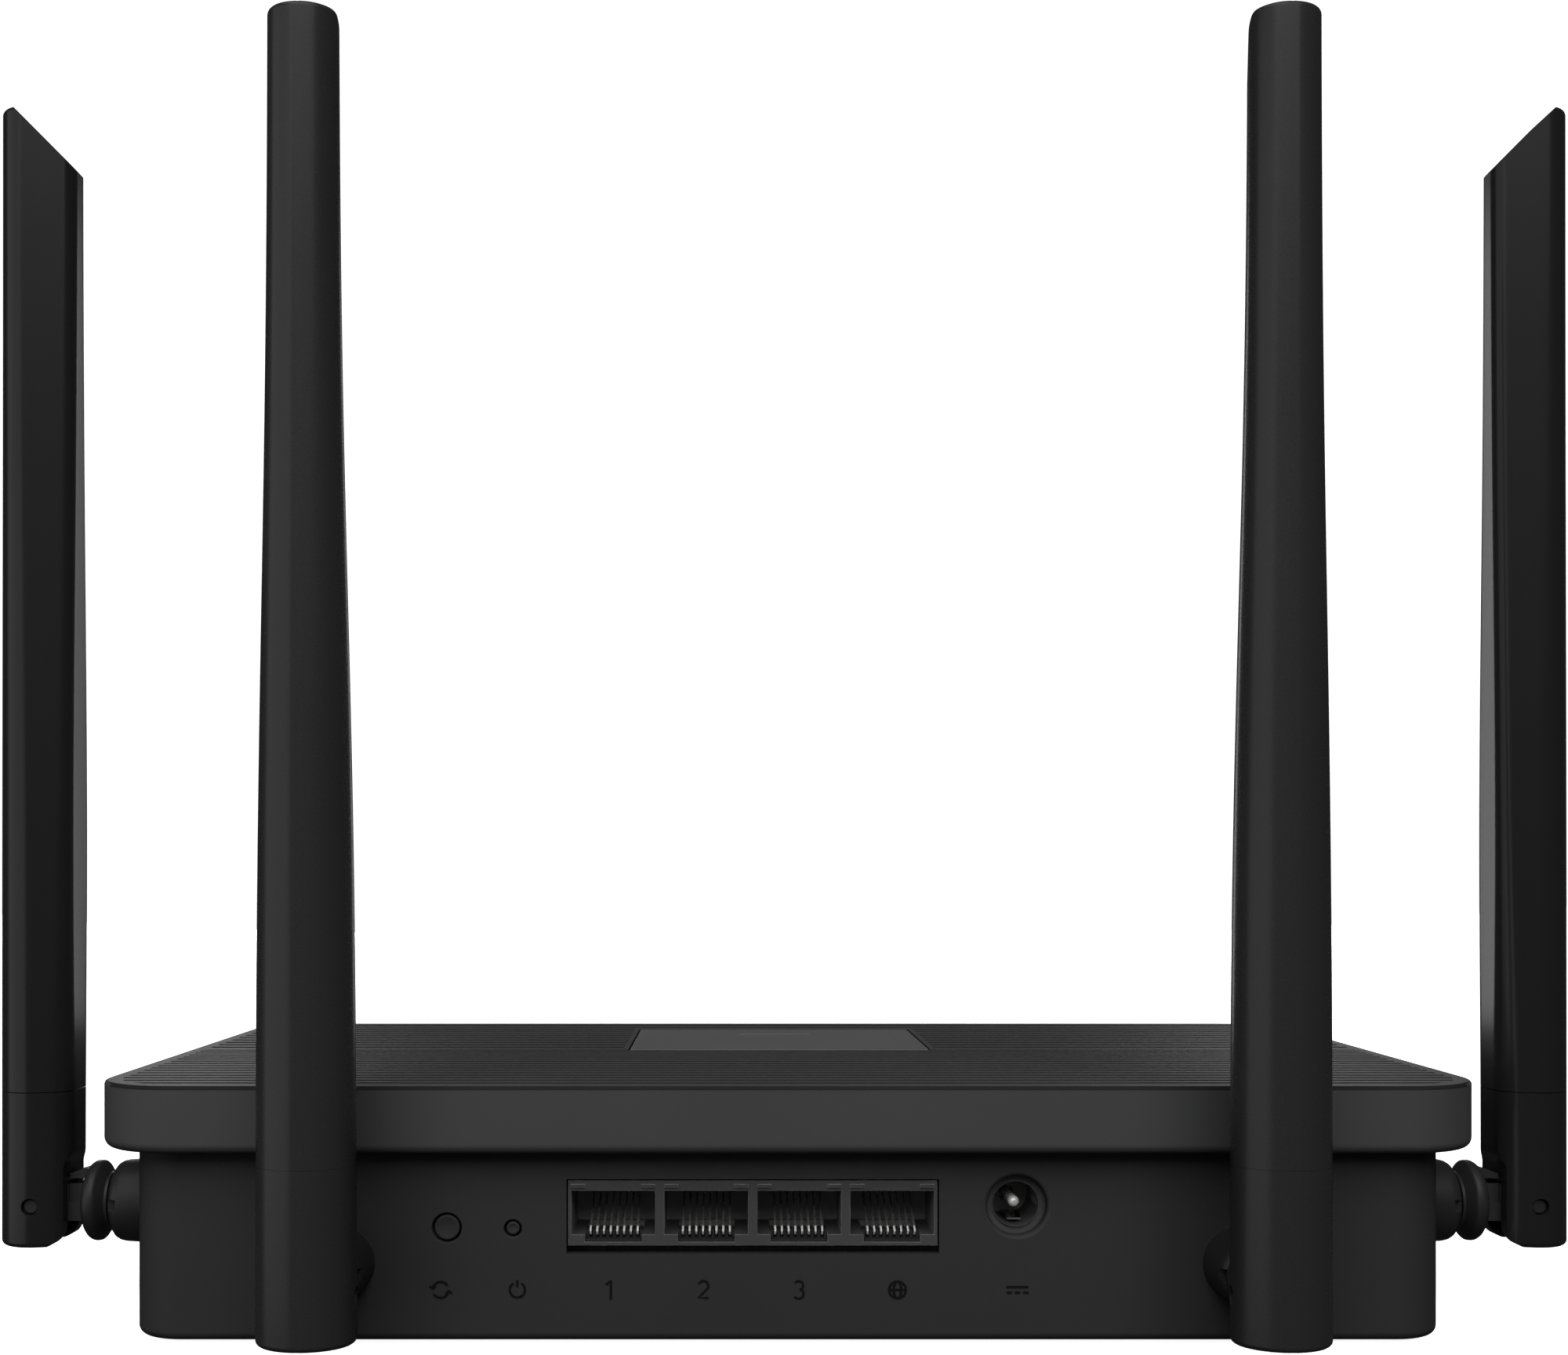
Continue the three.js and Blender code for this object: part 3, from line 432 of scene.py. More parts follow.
def lathe(profile, axis, at=(0, 0, 0), turn=STRAIGHT, sides=FINE):
    """A profile of (radius, distance along the axis), turned about it and closed by flat ends."""
    rings = [circle(radius, sides, distance) for radius, distance in profile]
    return loft(rings, axis_place(axis, at, turn))


def rod(radius, span, axis, at=(0, 0, 0), turn=STRAIGHT, sides=FINE):
    return lathe([(radius, span[0]), (radius, span[1])], axis, at, turn, sides)


def tube(profile, axis, turn=STRAIGHT, sides=FINE):
    """A closed loop of (radius, distance along the axis) turned about an axis that it doesn't touch."""
    points = []
    for i in range(sides):
        angle = 2 * math.pi * i / sides
        points += [(r * math.cos(angle), r * math.sin(angle), d) for r, d in profile]
    count = len(profile)
    faces = []
    for i in range(sides):
        start = i * count
        following = (i + 1) % sides * count
        for k in range(count):
            after = (k + 1) % count
            faces.append((start + k, start + after, following + after, following + k))
    return mesh_object("solid", points, faces, axis_place(axis, (0, 0, 0), turn))


def bake_modifiers(obj):
    graph = bpy.context.evaluated_depsgraph_get()
    mesh = bpy.data.meshes.new_from_object(obj.evaluated_get(graph))
    obj.modifiers.clear()
    obj.data = mesh


def combine(body, others, operation):
    for other in others:
        step = body.modifiers.new("step", "BOOLEAN")
        step.operation = operation
        step.solver = "MANIFOLD"
        step.object = other
    bake_modifiers(body)
    for other in others:
        bpy.data.objects.remove(other)
    return body


def cut(body, cutters):
    return combine(body, cutters, "DIFFERENCE")


def join(body, pieces):
    return combine(body, pieces, "UNION")


# ---------- finishing a piece ----------

SHARP = math.radians(32)  # edges that turn by more than this are edges, not curves


def soften_edges(obj, width):
    edge = obj.modifiers.new("soft_edges", "BEVEL")
    edge.width = width * MM
    edge.segments = 2
    edge.limit_method = "ANGLE"
    edge.angle_limit = SHARP
    return edge


def put(obj, name, body, material, replaces=(), bevel=SOFT_EDGE):
    """Names and finishes a new piece, and sets it on its body in place of CAD nodes."""
    obj.name = name
    obj.data.name = name
    obj.data.materials.clear()
    obj.data.materials.append(material)
    obj.data.shade_smooth()
    if bevel:
        soften_edges(obj, bevel).harden_normals = True
    else:
        obj.data.set_sharp_from_angle(angle=SHARP)
    even = obj.modifiers.new("even_shading", "WEIGHTED_NORMAL")
    even.keep_sharp = True
    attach(obj, body)
    if replaces:
        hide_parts(*replaces)
    return obj


def paint_faces(obj, material, wanted):
    """A further material on the faces for which wanted(centre in millimetres, normal) is true."""
    obj.data.materials.append(material)
    index = len(obj.data.materials) - 1
    for face in obj.data.polygons:
        if wanted(face.center / MM, face.normal):
            face.material_index = index


def keep(node, material, bevel=0.0, sharp=SHARP):
    """A CAD node that stays, with a finished material."""
    obj = frame["nodes"][node]
    obj.data.materials.clear()
    obj.data.materials.append(material)
    obj.data.shade_smooth()
    obj.data.set_sharp_from_angle(angle=sharp)
    if bevel:
        soften_edges(obj, bevel)


# ---------- cover ----------

WALL = 2.0
COVER_TOP_WALL = 2.4
COVER_CORNER = 13
CASE_CORNER = 8
COVER_HALF = COVER_HIGH.x
COVER_PLAN = (COVER_HALF, COVER_LOW.y, COVER_HIGH.y, COVER_CORNER)
CASE_PLAN = (CASE_HIGH.x, CASE_LOW.y, CASE_HIGH.y, CASE_CORNER)
LOWER_ROUND_IN = 1.4  # how far the cover's lower edge draws in
LOWER_ROUND_UP = 1.5  # the height over which it does
TOP_ROUND = 0.6
RIM = 2.6  # smooth border of the ribbed field
SEAM_Y = PLATE_LOW.y - 0.65
SEAM_WIDTH = 0.7
SEAM_DEPTH = 0.9
SEAM_LAND = 2.2  # smooth strip in front of the seam
PLATE_BORDER = 1.2  # smooth strip round the inlay
RIB_DEPTH = 0.75
GROOVE_HALF = 0.2  # half a groove's width, as a share of the ribs' pitch
REAR_RIBS = 15
FRONT_RIBS = 11
PILLAR_TOP = 7.0  # where the lower case's screw pillars meet the cover's bosses
BOSS_RADIUS = 3.2
BOSS_HOLE_RADIUS = 1.5
SCREW_PLACES = [sum(node_box(f"case_screw_{i}"), Vector()) / 2 for i in range(1, 5)]


def rib_grooves(y0, y1, count):
    """Cutters that leave count rounded ribs between y0 and y1."""
    pitch = (y1 - y0) / count
    half = GROOVE_HALF * pitch
    steps = 12
    cutters = []
    for i in range(count):
        middle = y0 + (i + 0.5) * pitch
        outline = [(middle - half, TOP_Z + 0.5)]
        for k in range(steps + 1):
            share = k / steps * 2 - 1
            drop = RIB_DEPTH * (0.5 + 0.5 * math.cos(math.pi * share)) ** 0.4
            outline.append((middle + share * half, TOP_Z + 0.01 - drop))
        outline.append((middle + half, TOP_Z + 0.5))
        cutters.append(along_x(outline, (-COVER_HALF, COVER_HALF)))
    return cutters


def make_ribbing():
    """One cutter for all the grooves, inside the rim and clear of the inlay."""
    grooves = rib_grooves(COVER_LOW.y + RIM, SEAM_Y - SEAM_WIDTH / 2, REAR_RIBS)
    grooves += rib_grooves(SEAM_Y + SEAM_WIDTH / 2 + SEAM_LAND, COVER_HIGH.y - RIM, FRONT_RIBS)
    ribbing = join(grooves[0], grooves[1:])
    field = loft([plan_ring(*COVER_PLAN, RIM, z) for z in (TOP_Z - 2, TOP_Z + 0.4)])
    combine(ribbing, [field], "INTERSECT")
    inlay_xs = (PLATE_LOW.x - PLATE_BORDER, PLATE_HIGH.x + PLATE_BORDER)
    inlay_ys = (SEAM_Y, PLATE_HIGH.y + PLATE_BORDER)
    return cut(ribbing, [block(inlay_xs, inlay_ys, (TOP_Z - 3, TOP_Z + 2))])


def make_cover():
    rings = []
    steps = 6
    for i in range(steps + 1):
        a = i / steps * math.pi / 2
        inset = LOWER_ROUND_IN * (1 - math.sin(a))
        rings.append(plan_ring(*COVER_PLAN, inset, SPLIT_Z + LOWER_ROUND_UP * (1 - math.cos(a))))
    rings += [plan_ring(*COVER_PLAN, inset, TOP_Z - drop) for inset, drop in rounding(TOP_ROUND)]
    cover = loft(rings)
    case_seat = loft([plan_ring(*CASE_PLAN, -GAP, z) for z in (SPLIT_Z - 1, CASE_HIGH.z + GAP)])
    hollow = loft([plan_ring(*CASE_PLAN, WALL, z) for z in (SPLIT_Z - 1, TOP_Z - COVER_TOP_WALL)])
    seam_xs = (RIM - COVER_HALF, COVER_HALF - RIM)
    seam_ys = (SEAM_Y - SEAM_WIDTH / 2, SEAM_Y + SEAM_WIDTH / 2)
    seam = block(seam_xs, seam_ys, (TOP_Z - SEAM_DEPTH, TOP_Z + 1))
    plate_xs = (PLATE_LOW.x - GAP, PLATE_HIGH.x + GAP)
    plate_ys = (PLATE_LOW.y - GAP, PLATE_HIGH.y + GAP)
    plate_seat = block(plate_xs, plate_ys, (PLATE_LOW.z - GAP, TOP_Z + 1))
    lens_xs = (LENS_LOW.x - GAP, LENS_HIGH.x + GAP)
    lens_ys = (LENS_LOW.y - GAP, LENS_HIGH.y + GAP)
    lens_hole = block(lens_xs, lens_ys, (TOP_Z - 5, TOP_Z + 1))
    cut(cover, [case_seat, hollow, make_ribbing(), seam, plate_seat, lens_hole])
    boss_span = (PILLAR_TOP + 0.4, TOP_Z - 1.4)
    join(cover, [rod(BOSS_RADIUS, boss_span, "z", (p.x, p.y, 0), sides=24) for p in SCREW_PLACES])
    hole_span = (PILLAR_TOP, 24)
    cut(cover, [rod(BOSS_HOLE_RADIUS, hole_span, "z", (p.x, p.y, 0), sides=16) for p in SCREW_PLACES])
    put(cover, "ribbed_cover", "router_body", COVER, ["top_cover"], bevel=0.08)
    deepest = TOP_Z - RIB_DEPTH - 0.05
    shallowest = TOP_Z - 0.05
    reach = COVER_HALF - RIM + 0.01
    # painted shade: the grooves' faces get a darker plastic than the rest of the cover
    paint_faces(cover, GROOVE_SHADE, lambda at, normal: deepest < at.z < shallowest and abs(at.x) < reach)


def make_plate():
    plate = block((PLATE_LOW.x, PLATE_HIGH.x), (PLATE_LOW.y, PLATE_HIGH.y), (PLATE_LOW.z, PLATE_HIGH.z))
    slot_xs = (LENS_LOW.x - 0.1, LENS_HIGH.x + 0.1)
    cut(plate, [block(slot_xs, (LENS_LOW.y - 0.1, LENS_HIGH.y + 0.1), (TOP_Z - 5, TOP_Z + 1))])
    put(plate, "smooth_inlay", "router_body", PLATE, ["badge_plate"], bevel=0.15)


make_cover()
make_plate()
keep("status_light_lens", LENS, bevel=0.1)


# ---------- lower case ----------

CASE_EDGE = 1.3
SOCKET_GAP = 0.25
SOCKET_GAP_BELOW = 1.1
BUTTONS = ("wps", "reset")
ANTENNAS = ("rear_left", "rear_right", "side_left", "side_right")
FEET = [node_box(f"foot_{i}") for i in range(1, 5)]
PIN_X = 21.3  # an antenna's tilt pin, from the wall
BUSH_HOLE_RADIUS = 5.0
POST_PLACES = [(x, REAR_Y + y) for x in (-54, 52) for y in (42, 78)]  # under the board
PILLAR_RADIUS = 4.6
VENT_COLUMNS = 7
VENT_PITCH = 14
VENT_ROWS = (-4, 24)
VENT_HALF = 7.8
VENT_RADIUS = 1.2


def button_box(name):
    return node_box(f"{name}_button")


def antenna_place(name):
    """Turns an antenna's own frame (+X out of the wall, origin on the swivel axis) to its place."""
    tilt = joint_place(f"{name}_tilt")
    out = (tilt - joint_place(f"{name}_swivel")).normalized()
    origin = tilt - out * PIN_X
    return Matrix.Translation(origin) @ Matrix.Rotation(math.atan2(out.y, out.x), 4, "Z")


def wall_openings():
    """Cutters for the sockets, the inlet, the buttons and the antennas' bosses."""
    socket_xs = (HOUSING_LOW.x - SOCKET_GAP, HOUSING_HIGH.x + SOCKET_GAP)
    socket_zs = (HOUSING_LOW.z - SOCKET_GAP_BELOW, HOUSING_HIGH.z + SOCKET_GAP)
    cutters = [block(socket_xs, (REAR_Y - 1, REAR_Y + 3), socket_zs)]
    funnel = [(5.3, -0.5), (5.15, 0), (4.85, 0.05), (4.65, 0.22), (4.53, 0.45), (4.5, 0.7), (4.5, 3)]
    cutters.append(lathe(funnel, "y", (INLET.x, REAR_Y, INLET.z)))
    for name in BUTTONS:
        low, high = button_box(name)
        r = (high.x - low.x) / 2 + GAP
        hole = [(r + 0.25, -0.5), (r + 0.25, 0), (r + 0.07, 0.1), (r, 0.3), (r, 3)]
        cutters.append(lathe(hole, "y", ((low.x + high.x) / 2, REAR_Y, (low.z + high.z) / 2)))
    for name in ANTENNAS:
        cutters.append(rod(BUSH_HOLE_RADIUS, (-3, 3), "x", turn=antenna_place(name)))
    return cutters


def posts_and_pillars(floor_top):
    post = [(2.6, floor_top), (2.6, 12.7), (1.2, 12.7), (1.2, 15.3), (0.9, 15.6)]
    pieces = [lathe(post, "z", (x, y, 0), sides=20) for x, y in POST_PLACES]
    for at in SCREW_PLACES:
        pieces.append(rod(PILLAR_RADIUS, (floor_top, PILLAR_TOP), "z", (at.x, at.y, 0), sides=24))
    return pieces


def floor_openings():
    """Cutters for the screws' stepped holes, the feet's pockets and two rows of vent slots."""
    screw_hole = [(3.3, 0), (3.3, 1.0), (3.1, 1.25), (3.1, 4.6), (1.6, 4.6), (1.6, 8)]
    cutters = [lathe(screw_hole, "z", (at.x, at.y, 0), sides=32) for at in SCREW_PLACES]
    for low, high in FEET:
        middle = (low + high) / 2
        radius = (high.x - low.x) / 2 + GAP
        cutters.append(rod(radius, (0, high.z + GAP), "z", (middle.x, middle.y, 0)))
    for column in range(VENT_COLUMNS):
        x = (column - VENT_COLUMNS // 2) * VENT_PITCH
        for y in VENT_ROWS:
            slot = arc(x, y + VENT_HALF, VENT_RADIUS, 0, 180, 6)
            slot += arc(x, y - VENT_HALF, VENT_RADIUS, 180, 360, 6)
            cutters.append(loft([[(px, py, z) for px, py in slot] for z in (0, 4)]))
    return cutters


def make_case():
    bottom = CASE_LOW.z
    edge = rounding(CASE_EDGE, 6)[::-1]
    rings = [plan_ring(*CASE_PLAN, inset, bottom + drop) for inset, drop in edge]
    rings.append(plan_ring(*CASE_PLAN, 0, CASE_HIGH.z))
    body = loft(rings)
    inside = loft([plan_ring(*CASE_PLAN, WALL, z) for z in (bottom + WALL, CASE_HIGH.z + 1)])
    cut(body, [inside] + wall_openings())
    join(body, posts_and_pillars(bottom + WALL - 0.1))
    cut(body, floor_openings())
    put(body, "lower_case", "router_body", CASE, ["bottom_case"])


def make_foot(index, low, high):
    middle = (low + high) / 2
    r = (high.x - low.x) / 2
    profile = [(r - 1.2, 0.25), (r - 0.9, 0), (r - 0.5, 0.08), (r - 0.12, 0.35), (r, 0.8), (r, high.z)]
    foot = lathe(profile, "z", (middle.x, middle.y, 0))
    put(foot, f"rubber_foot_{index}", "router_body", RUBBER, [f"foot_{index}"], bevel=0)


make_case()
for number, (foot_low, foot_high) in enumerate(FEET, 1):
    make_foot(number, foot_low, foot_high)
    keep(f"case_screw_{number}", STEEL)


# ---------- network sockets ----------

PORT_PITCH = 13.97
PORT_MIDDLE = (HOUSING_LOW.x + HOUSING_HIGH.x) / 2
PORT_CENTRES = [PORT_MIDDLE + step * PORT_PITCH for step in (-1.5, -0.5, 0.5, 1.5)]
PORT_HALF = 6.3
PORT_DEPTH = 13
PORT_FLOOR = 16.6
PORT_CEILING = 23.2
RECESS_HALF = 4.3  # the lower middle, where the contacts come out
RECESS_DROP = 1.1
LUG_WIDTH = 2.1
HOUSING_FACE = REAR_Y + 0.4
HOUSING_DEPTH = 16
CONTACT_PITCH = 1.016
CONTACTS = 8
WIRE = 0.32
COMB_HALF = 4.15
COMB_FLOOR = 15.55


def make_sockets():
    y0 = HOUSING_FACE
    housing_zs = (HOUSING_LOW.z + 0.1, HOUSING_HIGH.z)
    body = block((HOUSING_LOW.x, HOUSING_HIGH.x), (y0, y0 + HOUSING_DEPTH), housing_zs)
    opening_zs = (PORT_FLOOR, PORT_CEILING)
    recess_zs = (PORT_FLOOR - RECESS_DROP, PORT_FLOOR + 1)
    spaces = []
    lugs = []
    for x in PORT_CENTRES:
        spaces.append(block((x - PORT_HALF, x + PORT_HALF), (y0 - 1, y0 + PORT_DEPTH), opening_zs))
        spaces.append(block((x - RECESS_HALF, x + RECESS_HALF), (y0 - 1, y0 + PORT_DEPTH - 1), recess_zs))
        for side in (-1, 1):
            edge = x + side * PORT_HALF
            lug_xs = sorted((edge, edge - side * LUG_WIDTH))
            lugs.append(block(lug_xs, (y0 - 0.35, y0 + 1), (PORT_CEILING + 0.5, PORT_CEILING + 1.0)))
    cut(body, spaces)
    join(body, lugs)
    put(body, "socket_housing", "router_body", HOUSING, ["rj45_housing"], bevel=0.14)
    shallow = y0 + 1.2
    deep = y0 + PORT_DEPTH + 1
    # painted light: the sockets' inner faces get a lighter plastic than the housing
    paint_faces(body, SOCKET_INSIDE_LIGHT, lambda at, normal: shallow < at.y < deep and normal.z < 0.5)
    # painted highlight: the housing's bevels get a light grey plastic
    body.data.materials.append(SOCKET_EDGE_HIGHLIGHT)
    body.modifiers["soft_edges"].material = len(body.data.materials) - 1


def make_contacts(number, x):
    """Eight wires that bend over at the front, and the dark comb that holds them apart."""
    y0 = HOUSING_FACE
    route = [(4.6, 16.0), (3.0, 16.05), (2.3, 16.6), (2.9, 17.3), (12.2, 21.4)]
    outline = strip_outline(smooth_line([(y0 + depth, z) for depth, z in route]), WIRE)
    wires = []
    for i in range(CONTACTS):
        middle = x + (i - (CONTACTS - 1) / 2) * CONTACT_PITCH
        wires.append(along_x(outline, (middle - WIRE / 2, middle + WIRE / 2)))
    first = join(wires[0], wires[1:])
    node = f"port_contacts_{number}"
    put(first, f"socket_contacts_{number}", "router_body", CONTACT, [node], bevel=0.05)
    bend_reach = y0 + 2.6
    bend_foot = 16.3
    # painted highlight: the wires' front bends get the brighter plating
    paint_faces(first, CONTACT_HIGHLIGHT, lambda at, normal: at.y < bend_reach and at.z > bend_foot)
    comb_xs = (x - COMB_HALF, x + COMB_HALF)
    comb = block(comb_xs, (y0 + 4.7, y0 + 6.2), (COMB_FLOOR, 16.5))
    teeth = [block(comb_xs, (y0 + 0.4, y0 + 5), (COMB_FLOOR, 15.78))]
    for i in range(CONTACTS + 1):
        middle = x + (i - CONTACTS / 2) * CONTACT_PITCH
        teeth.append(block((middle - 0.25, middle + 0.25), (y0 + 2.7, y0 + 5.5), (COMB_FLOOR + 0.1, 16.9)))
    join(comb, teeth)
    put(comb, f"contact_comb_{number}", "router_body", DARK, bevel=0.05)


make_sockets()
for number, centre in enumerate(PORT_CENTRES, 1):
    make_contacts(number, centre)


# ---------- power inlet ----------

SLEEVE_RADIUS = 3.5  # the inlet's round mouth
BORE_DEPTH = 10
CENTRE_PIN_RADIUS = 0.85


def make_inlet():
    y0 = INLET_LOW.y + 0.35
    body = block((INLET_LOW.x, INLET_HIGH.x), (y0, INLET_HIGH.y), (INLET_LOW.z, INLET_HIGH.z))
    join(body, [rod(SLEEVE_RADIUS, (-0.35, 1), "y", (INLET.x, y0, INLET.z))])
    bore = [(3.42, -1), (3.42, -0.3), (3.3, -0.1), (3.3, BORE_DEPTH), (1.2, BORE_DEPTH), (1.2, 16)]
    cut(body, [lathe(bore, "y", (INLET.x, y0, INLET.z))])
    put(body, "inlet_housing", "router_body", HOUSING, ["dc_jack_housing"])
    shallow = y0 + 0.2
    deep = y0 + BORE_DEPTH + 1
    # painted light: the bore's inner faces get a lighter plastic than the housing
    paint_faces(body, SOCKET_INSIDE_LIGHT, lambda at, normal: shallow < at.y < deep and normal.z < 0.1)


def make_pin():
    r = CENTRE_PIN_RADIUS
    length = PIN_HIGH.y - PIN_LOW.y
    angles = [i / 6 * math.pi / 2 for i in range(1, 7)]
    profile = [(0.12, 0)] + [(r * math.sin(a), 0.7 * (1 - math.cos(a))) for a in angles]
    profile += [(r, length - 0.8), (1.6, length - 0.8), (1.6, length)]
    pin = lathe(profile, "y", (INLET.x, PIN_LOW.y, INLET.z), sides=40)
    # the pin gets the bends' brighter plating, a painted highlight
    put(pin, "inlet_pin", "router_body", CONTACT_HIGHLIGHT, ["dc_center_pin"], bevel=0)


make_inlet()
make_pin()
keep("dc_spring_contact", SILVER)


# ---------- buttons ----------

CAP_DEPTH = 1.55
STEM = 0.6  # the stem's radius, as a share of the cap's


def make_button(name):
    low, high = button_box(name)
    r = (high.x - low.x) / 2
    dish = [(r * 0.03, 0.22), (r * 0.3, 0.2), (r * 0.6, 0.13), (r - 0.42, 0.03)]
    edge = [(r - 0.3, 0), (r - 0.15, 0.02), (r - 0.04, 0.1), (r, 0.25), (r, CAP_DEPTH)]
    stem = [(r * STEM, CAP_DEPTH), (r * STEM, high.y - low.y)]
    cap = lathe(dish + edge + stem, "y", ((low.x + high.x) / 2, low.y, (low.z + high.z) / 2))
    put(cap, f"{name}_cap", f"{name}_button_body", CASE, [f"{name}_button"], bevel=0)


for button_name in BUTTONS:
    make_button(button_name)
    keep(f"{button_name}_switch", DARK, bevel=0.2)


# ---------- printed signs under the buttons, sockets and inlet ----------

MARK_Z = 8.4
MARK_LINE = 0.4
MARK_SIZE = 1.2
CURVE = 24  # steps along a sign's round stroke

PAIRING = [
    arc(0, 0, 1.0, 30, 170, CURVE),
    arc(0, 0, 1.0, 210, 350, CURVE),
    [(-1.4, 0.5), (-1.0, 0.1), (-0.6, 0.5)],
    [(0.6, -0.5), (1.0, -0.1), (1.4, -0.5)],
]
RESTART = [arc(0, 0, 0.95, 120, 420, CURVE), [(0, 0.35), (0, 1.25)]]
ONE = [[(0.1, 1.2), (0.1, -1.2)], [(-0.55, 0.65), (0.12, 1.1)]]
TWO = [arc(0, 0.5, 0.6, 160, -30, CURVE) + [(-0.62, -1.0), (0.65, -1.0)]]
THREE = [arc(0, 0.55, 0.55, 150, -80, CURVE), arc(0, -0.5, 0.6, 80, -150, CURVE)]
GLOBE = [
    arc(0, 0, 1.05, 0, 359, CURVE),
    arc(0, 0, 1.05, 0, 359, CURVE, squash=0.45),
    [(-1.0, 0), (1.0, 0)],
]
DIRECT_CURRENT = [
    [(-1.4, 0.35), (1.4, 0.35)],
    [(-1.4, -0.35), (-0.7, -0.35)],
    [(-0.35, -0.35), (0.35, -0.35)],
    [(0.7, -0.35), (1.4, -0.35)],
]
MARKS = [
    (-52.2, PAIRING),
    (-40.7, RESTART),
    (-26.8, ONE),
    (-12.8, TWO),
    (1.5, THREE),
    (16.3, GLOBE),
    (INLET.x, DIRECT_CURRENT),
]


def make_markings():
    """Thin printed signs, a hair proud of the socket wall."""
    strokes = []
    for x, lines in MARKS:
        for line in lines:
            route = [(x + MARK_SIZE * a, MARK_Z + MARK_SIZE * b) for a, b in line]
            strokes.append(along_y(strip_outline(route, MARK_LINE), (REAR_Y - 0.04, REAR_Y - 0.005)))
    join(strokes[0], strokes[1:])
    put(strokes[0], "printed_signs", "router_body", MARKING, bevel=0)


make_markings()


# ---------- board and what is on it ----------

keep("main_board", BOARD)
keep("cpu_heatsink", ALUMINIUM, bevel=0.15)
keep("shield_can", STEEL)
keep("transformer_1", DARK, bevel=0.15)
keep("transformer_2", DARK, bevel=0.15)
keep("capacitor_1", ALUMINIUM)
keep("capacitor_2", ALUMINIUM)
keep("status_led", LED, bevel=0.1)


# ---------- antennas, each in its own frame ----------

OUTER_X = 27.7
INNER_X = 15.45
FOOT_Z = -6.65
LENGTH = 183.6
SLEEVE = 24.8
MIDDLE_WIDTH = 11.78
WIDTH_CHANGE = 2.17
TAPER_MIDDLE = 103
TAPER_REACH = 49
NOSE_SHARE = 0.44  # the nose's depth, as a share of the width
TIP_WIDTH = 2.8
TIP_ROUND = 0.8
CHEEK_SLOPE = 0.24
SHELL = 1.6
NOTCH_X = 16.55
NOTCH_RADIUS = 3.3
NOTCH_TOP = 8.9
SLOT_HALF = 2.8  # the slot in the sleeve that the tongue turns in
SLOT_RADIUS = 3.3
TONGUE_HALF = 2.5
TONGUE_RADIUS = 3.0
KEEL_DEPTH = 0.06
REAR_SEAM = 0.02  # between the sleeve and the blade
SIDE_SEAM = 0.12
SPIGOT = 6.5  # how far the blade reaches into the sleeve
REAR_HINGE = 0.78  # the rear hinges are slimmer
BUSH_RADIUS = 7.05
BUSH_BORE = 3.3
BUSH_END = 9.45
COLLAR_RADIUS = 6.5
COLLAR_FRONT = 13.7
PIN_RADIUS = 1.18
SLEEVE_PIN_HOLE = 1.33
KNUCKLE_PIN_HOLE = 1.38
CABLE_HOLE = 1.3
ACROSS = (-10, 10)  # clear of an antenna on both sides


def antenna_width(height):
    return MIDDLE_WIDTH - WIDTH_CHANGE * math.tanh((height - TAPER_MIDDLE) / TAPER_REACH)


def inner_corner(height):
    """Radius of the inner edges, which are rounder near the hinge."""
    return 2.6 + 1.05 * (1 - math.tanh((height - 45) / 25))


def antenna_ring(height, inset=0.0, keel=True):
    """The section at a height above the lower end: round nose, cheeks that close in, flat inner face."""
    lean = math.atan(CHEEK_SLOPE)
    half = antenna_width(height) / 2 - inset
    nose = NOSE_SHARE * antenna_width(height) - inset
    corner = max(inner_corner(height) - inset, 0.4)
    nose_x = OUTER_X - inset - nose
    corner_x = INNER_X + inset + corner
    nose_end = math.pi / 2 + math.atan(CHEEK_SLOPE * nose / half)
    cheek_x = nose_x + nose * math.cos(nose_end)
    cheek_y = half * math.sin(nose_end)
    corner_y = cheek_y - CHEEK_SLOPE * (cheek_x - corner_x) - corner / math.cos(lean)
    z = FOOT_Z + height
    ring = []
    sides = 40
    for i in range(sides + 1):
        a = (2 * i / sides - 1) * nose_end
        groove = KEEL_DEPTH if keel and i == sides // 2 else 0.0
        ring.append((nose_x + nose * math.cos(a) - groove, half * math.sin(a), z))
    steps = 8
    for side in (1, -1):
        for i in range(steps + 1):
            share = i / steps if side > 0 else 1 - i / steps
            a = math.pi / 2 + lean + share * (math.pi / 2 - lean)
            ring.append((corner_x + corner * math.cos(a), side * (corner_y + corner * math.sin(a)), z))
    return ring


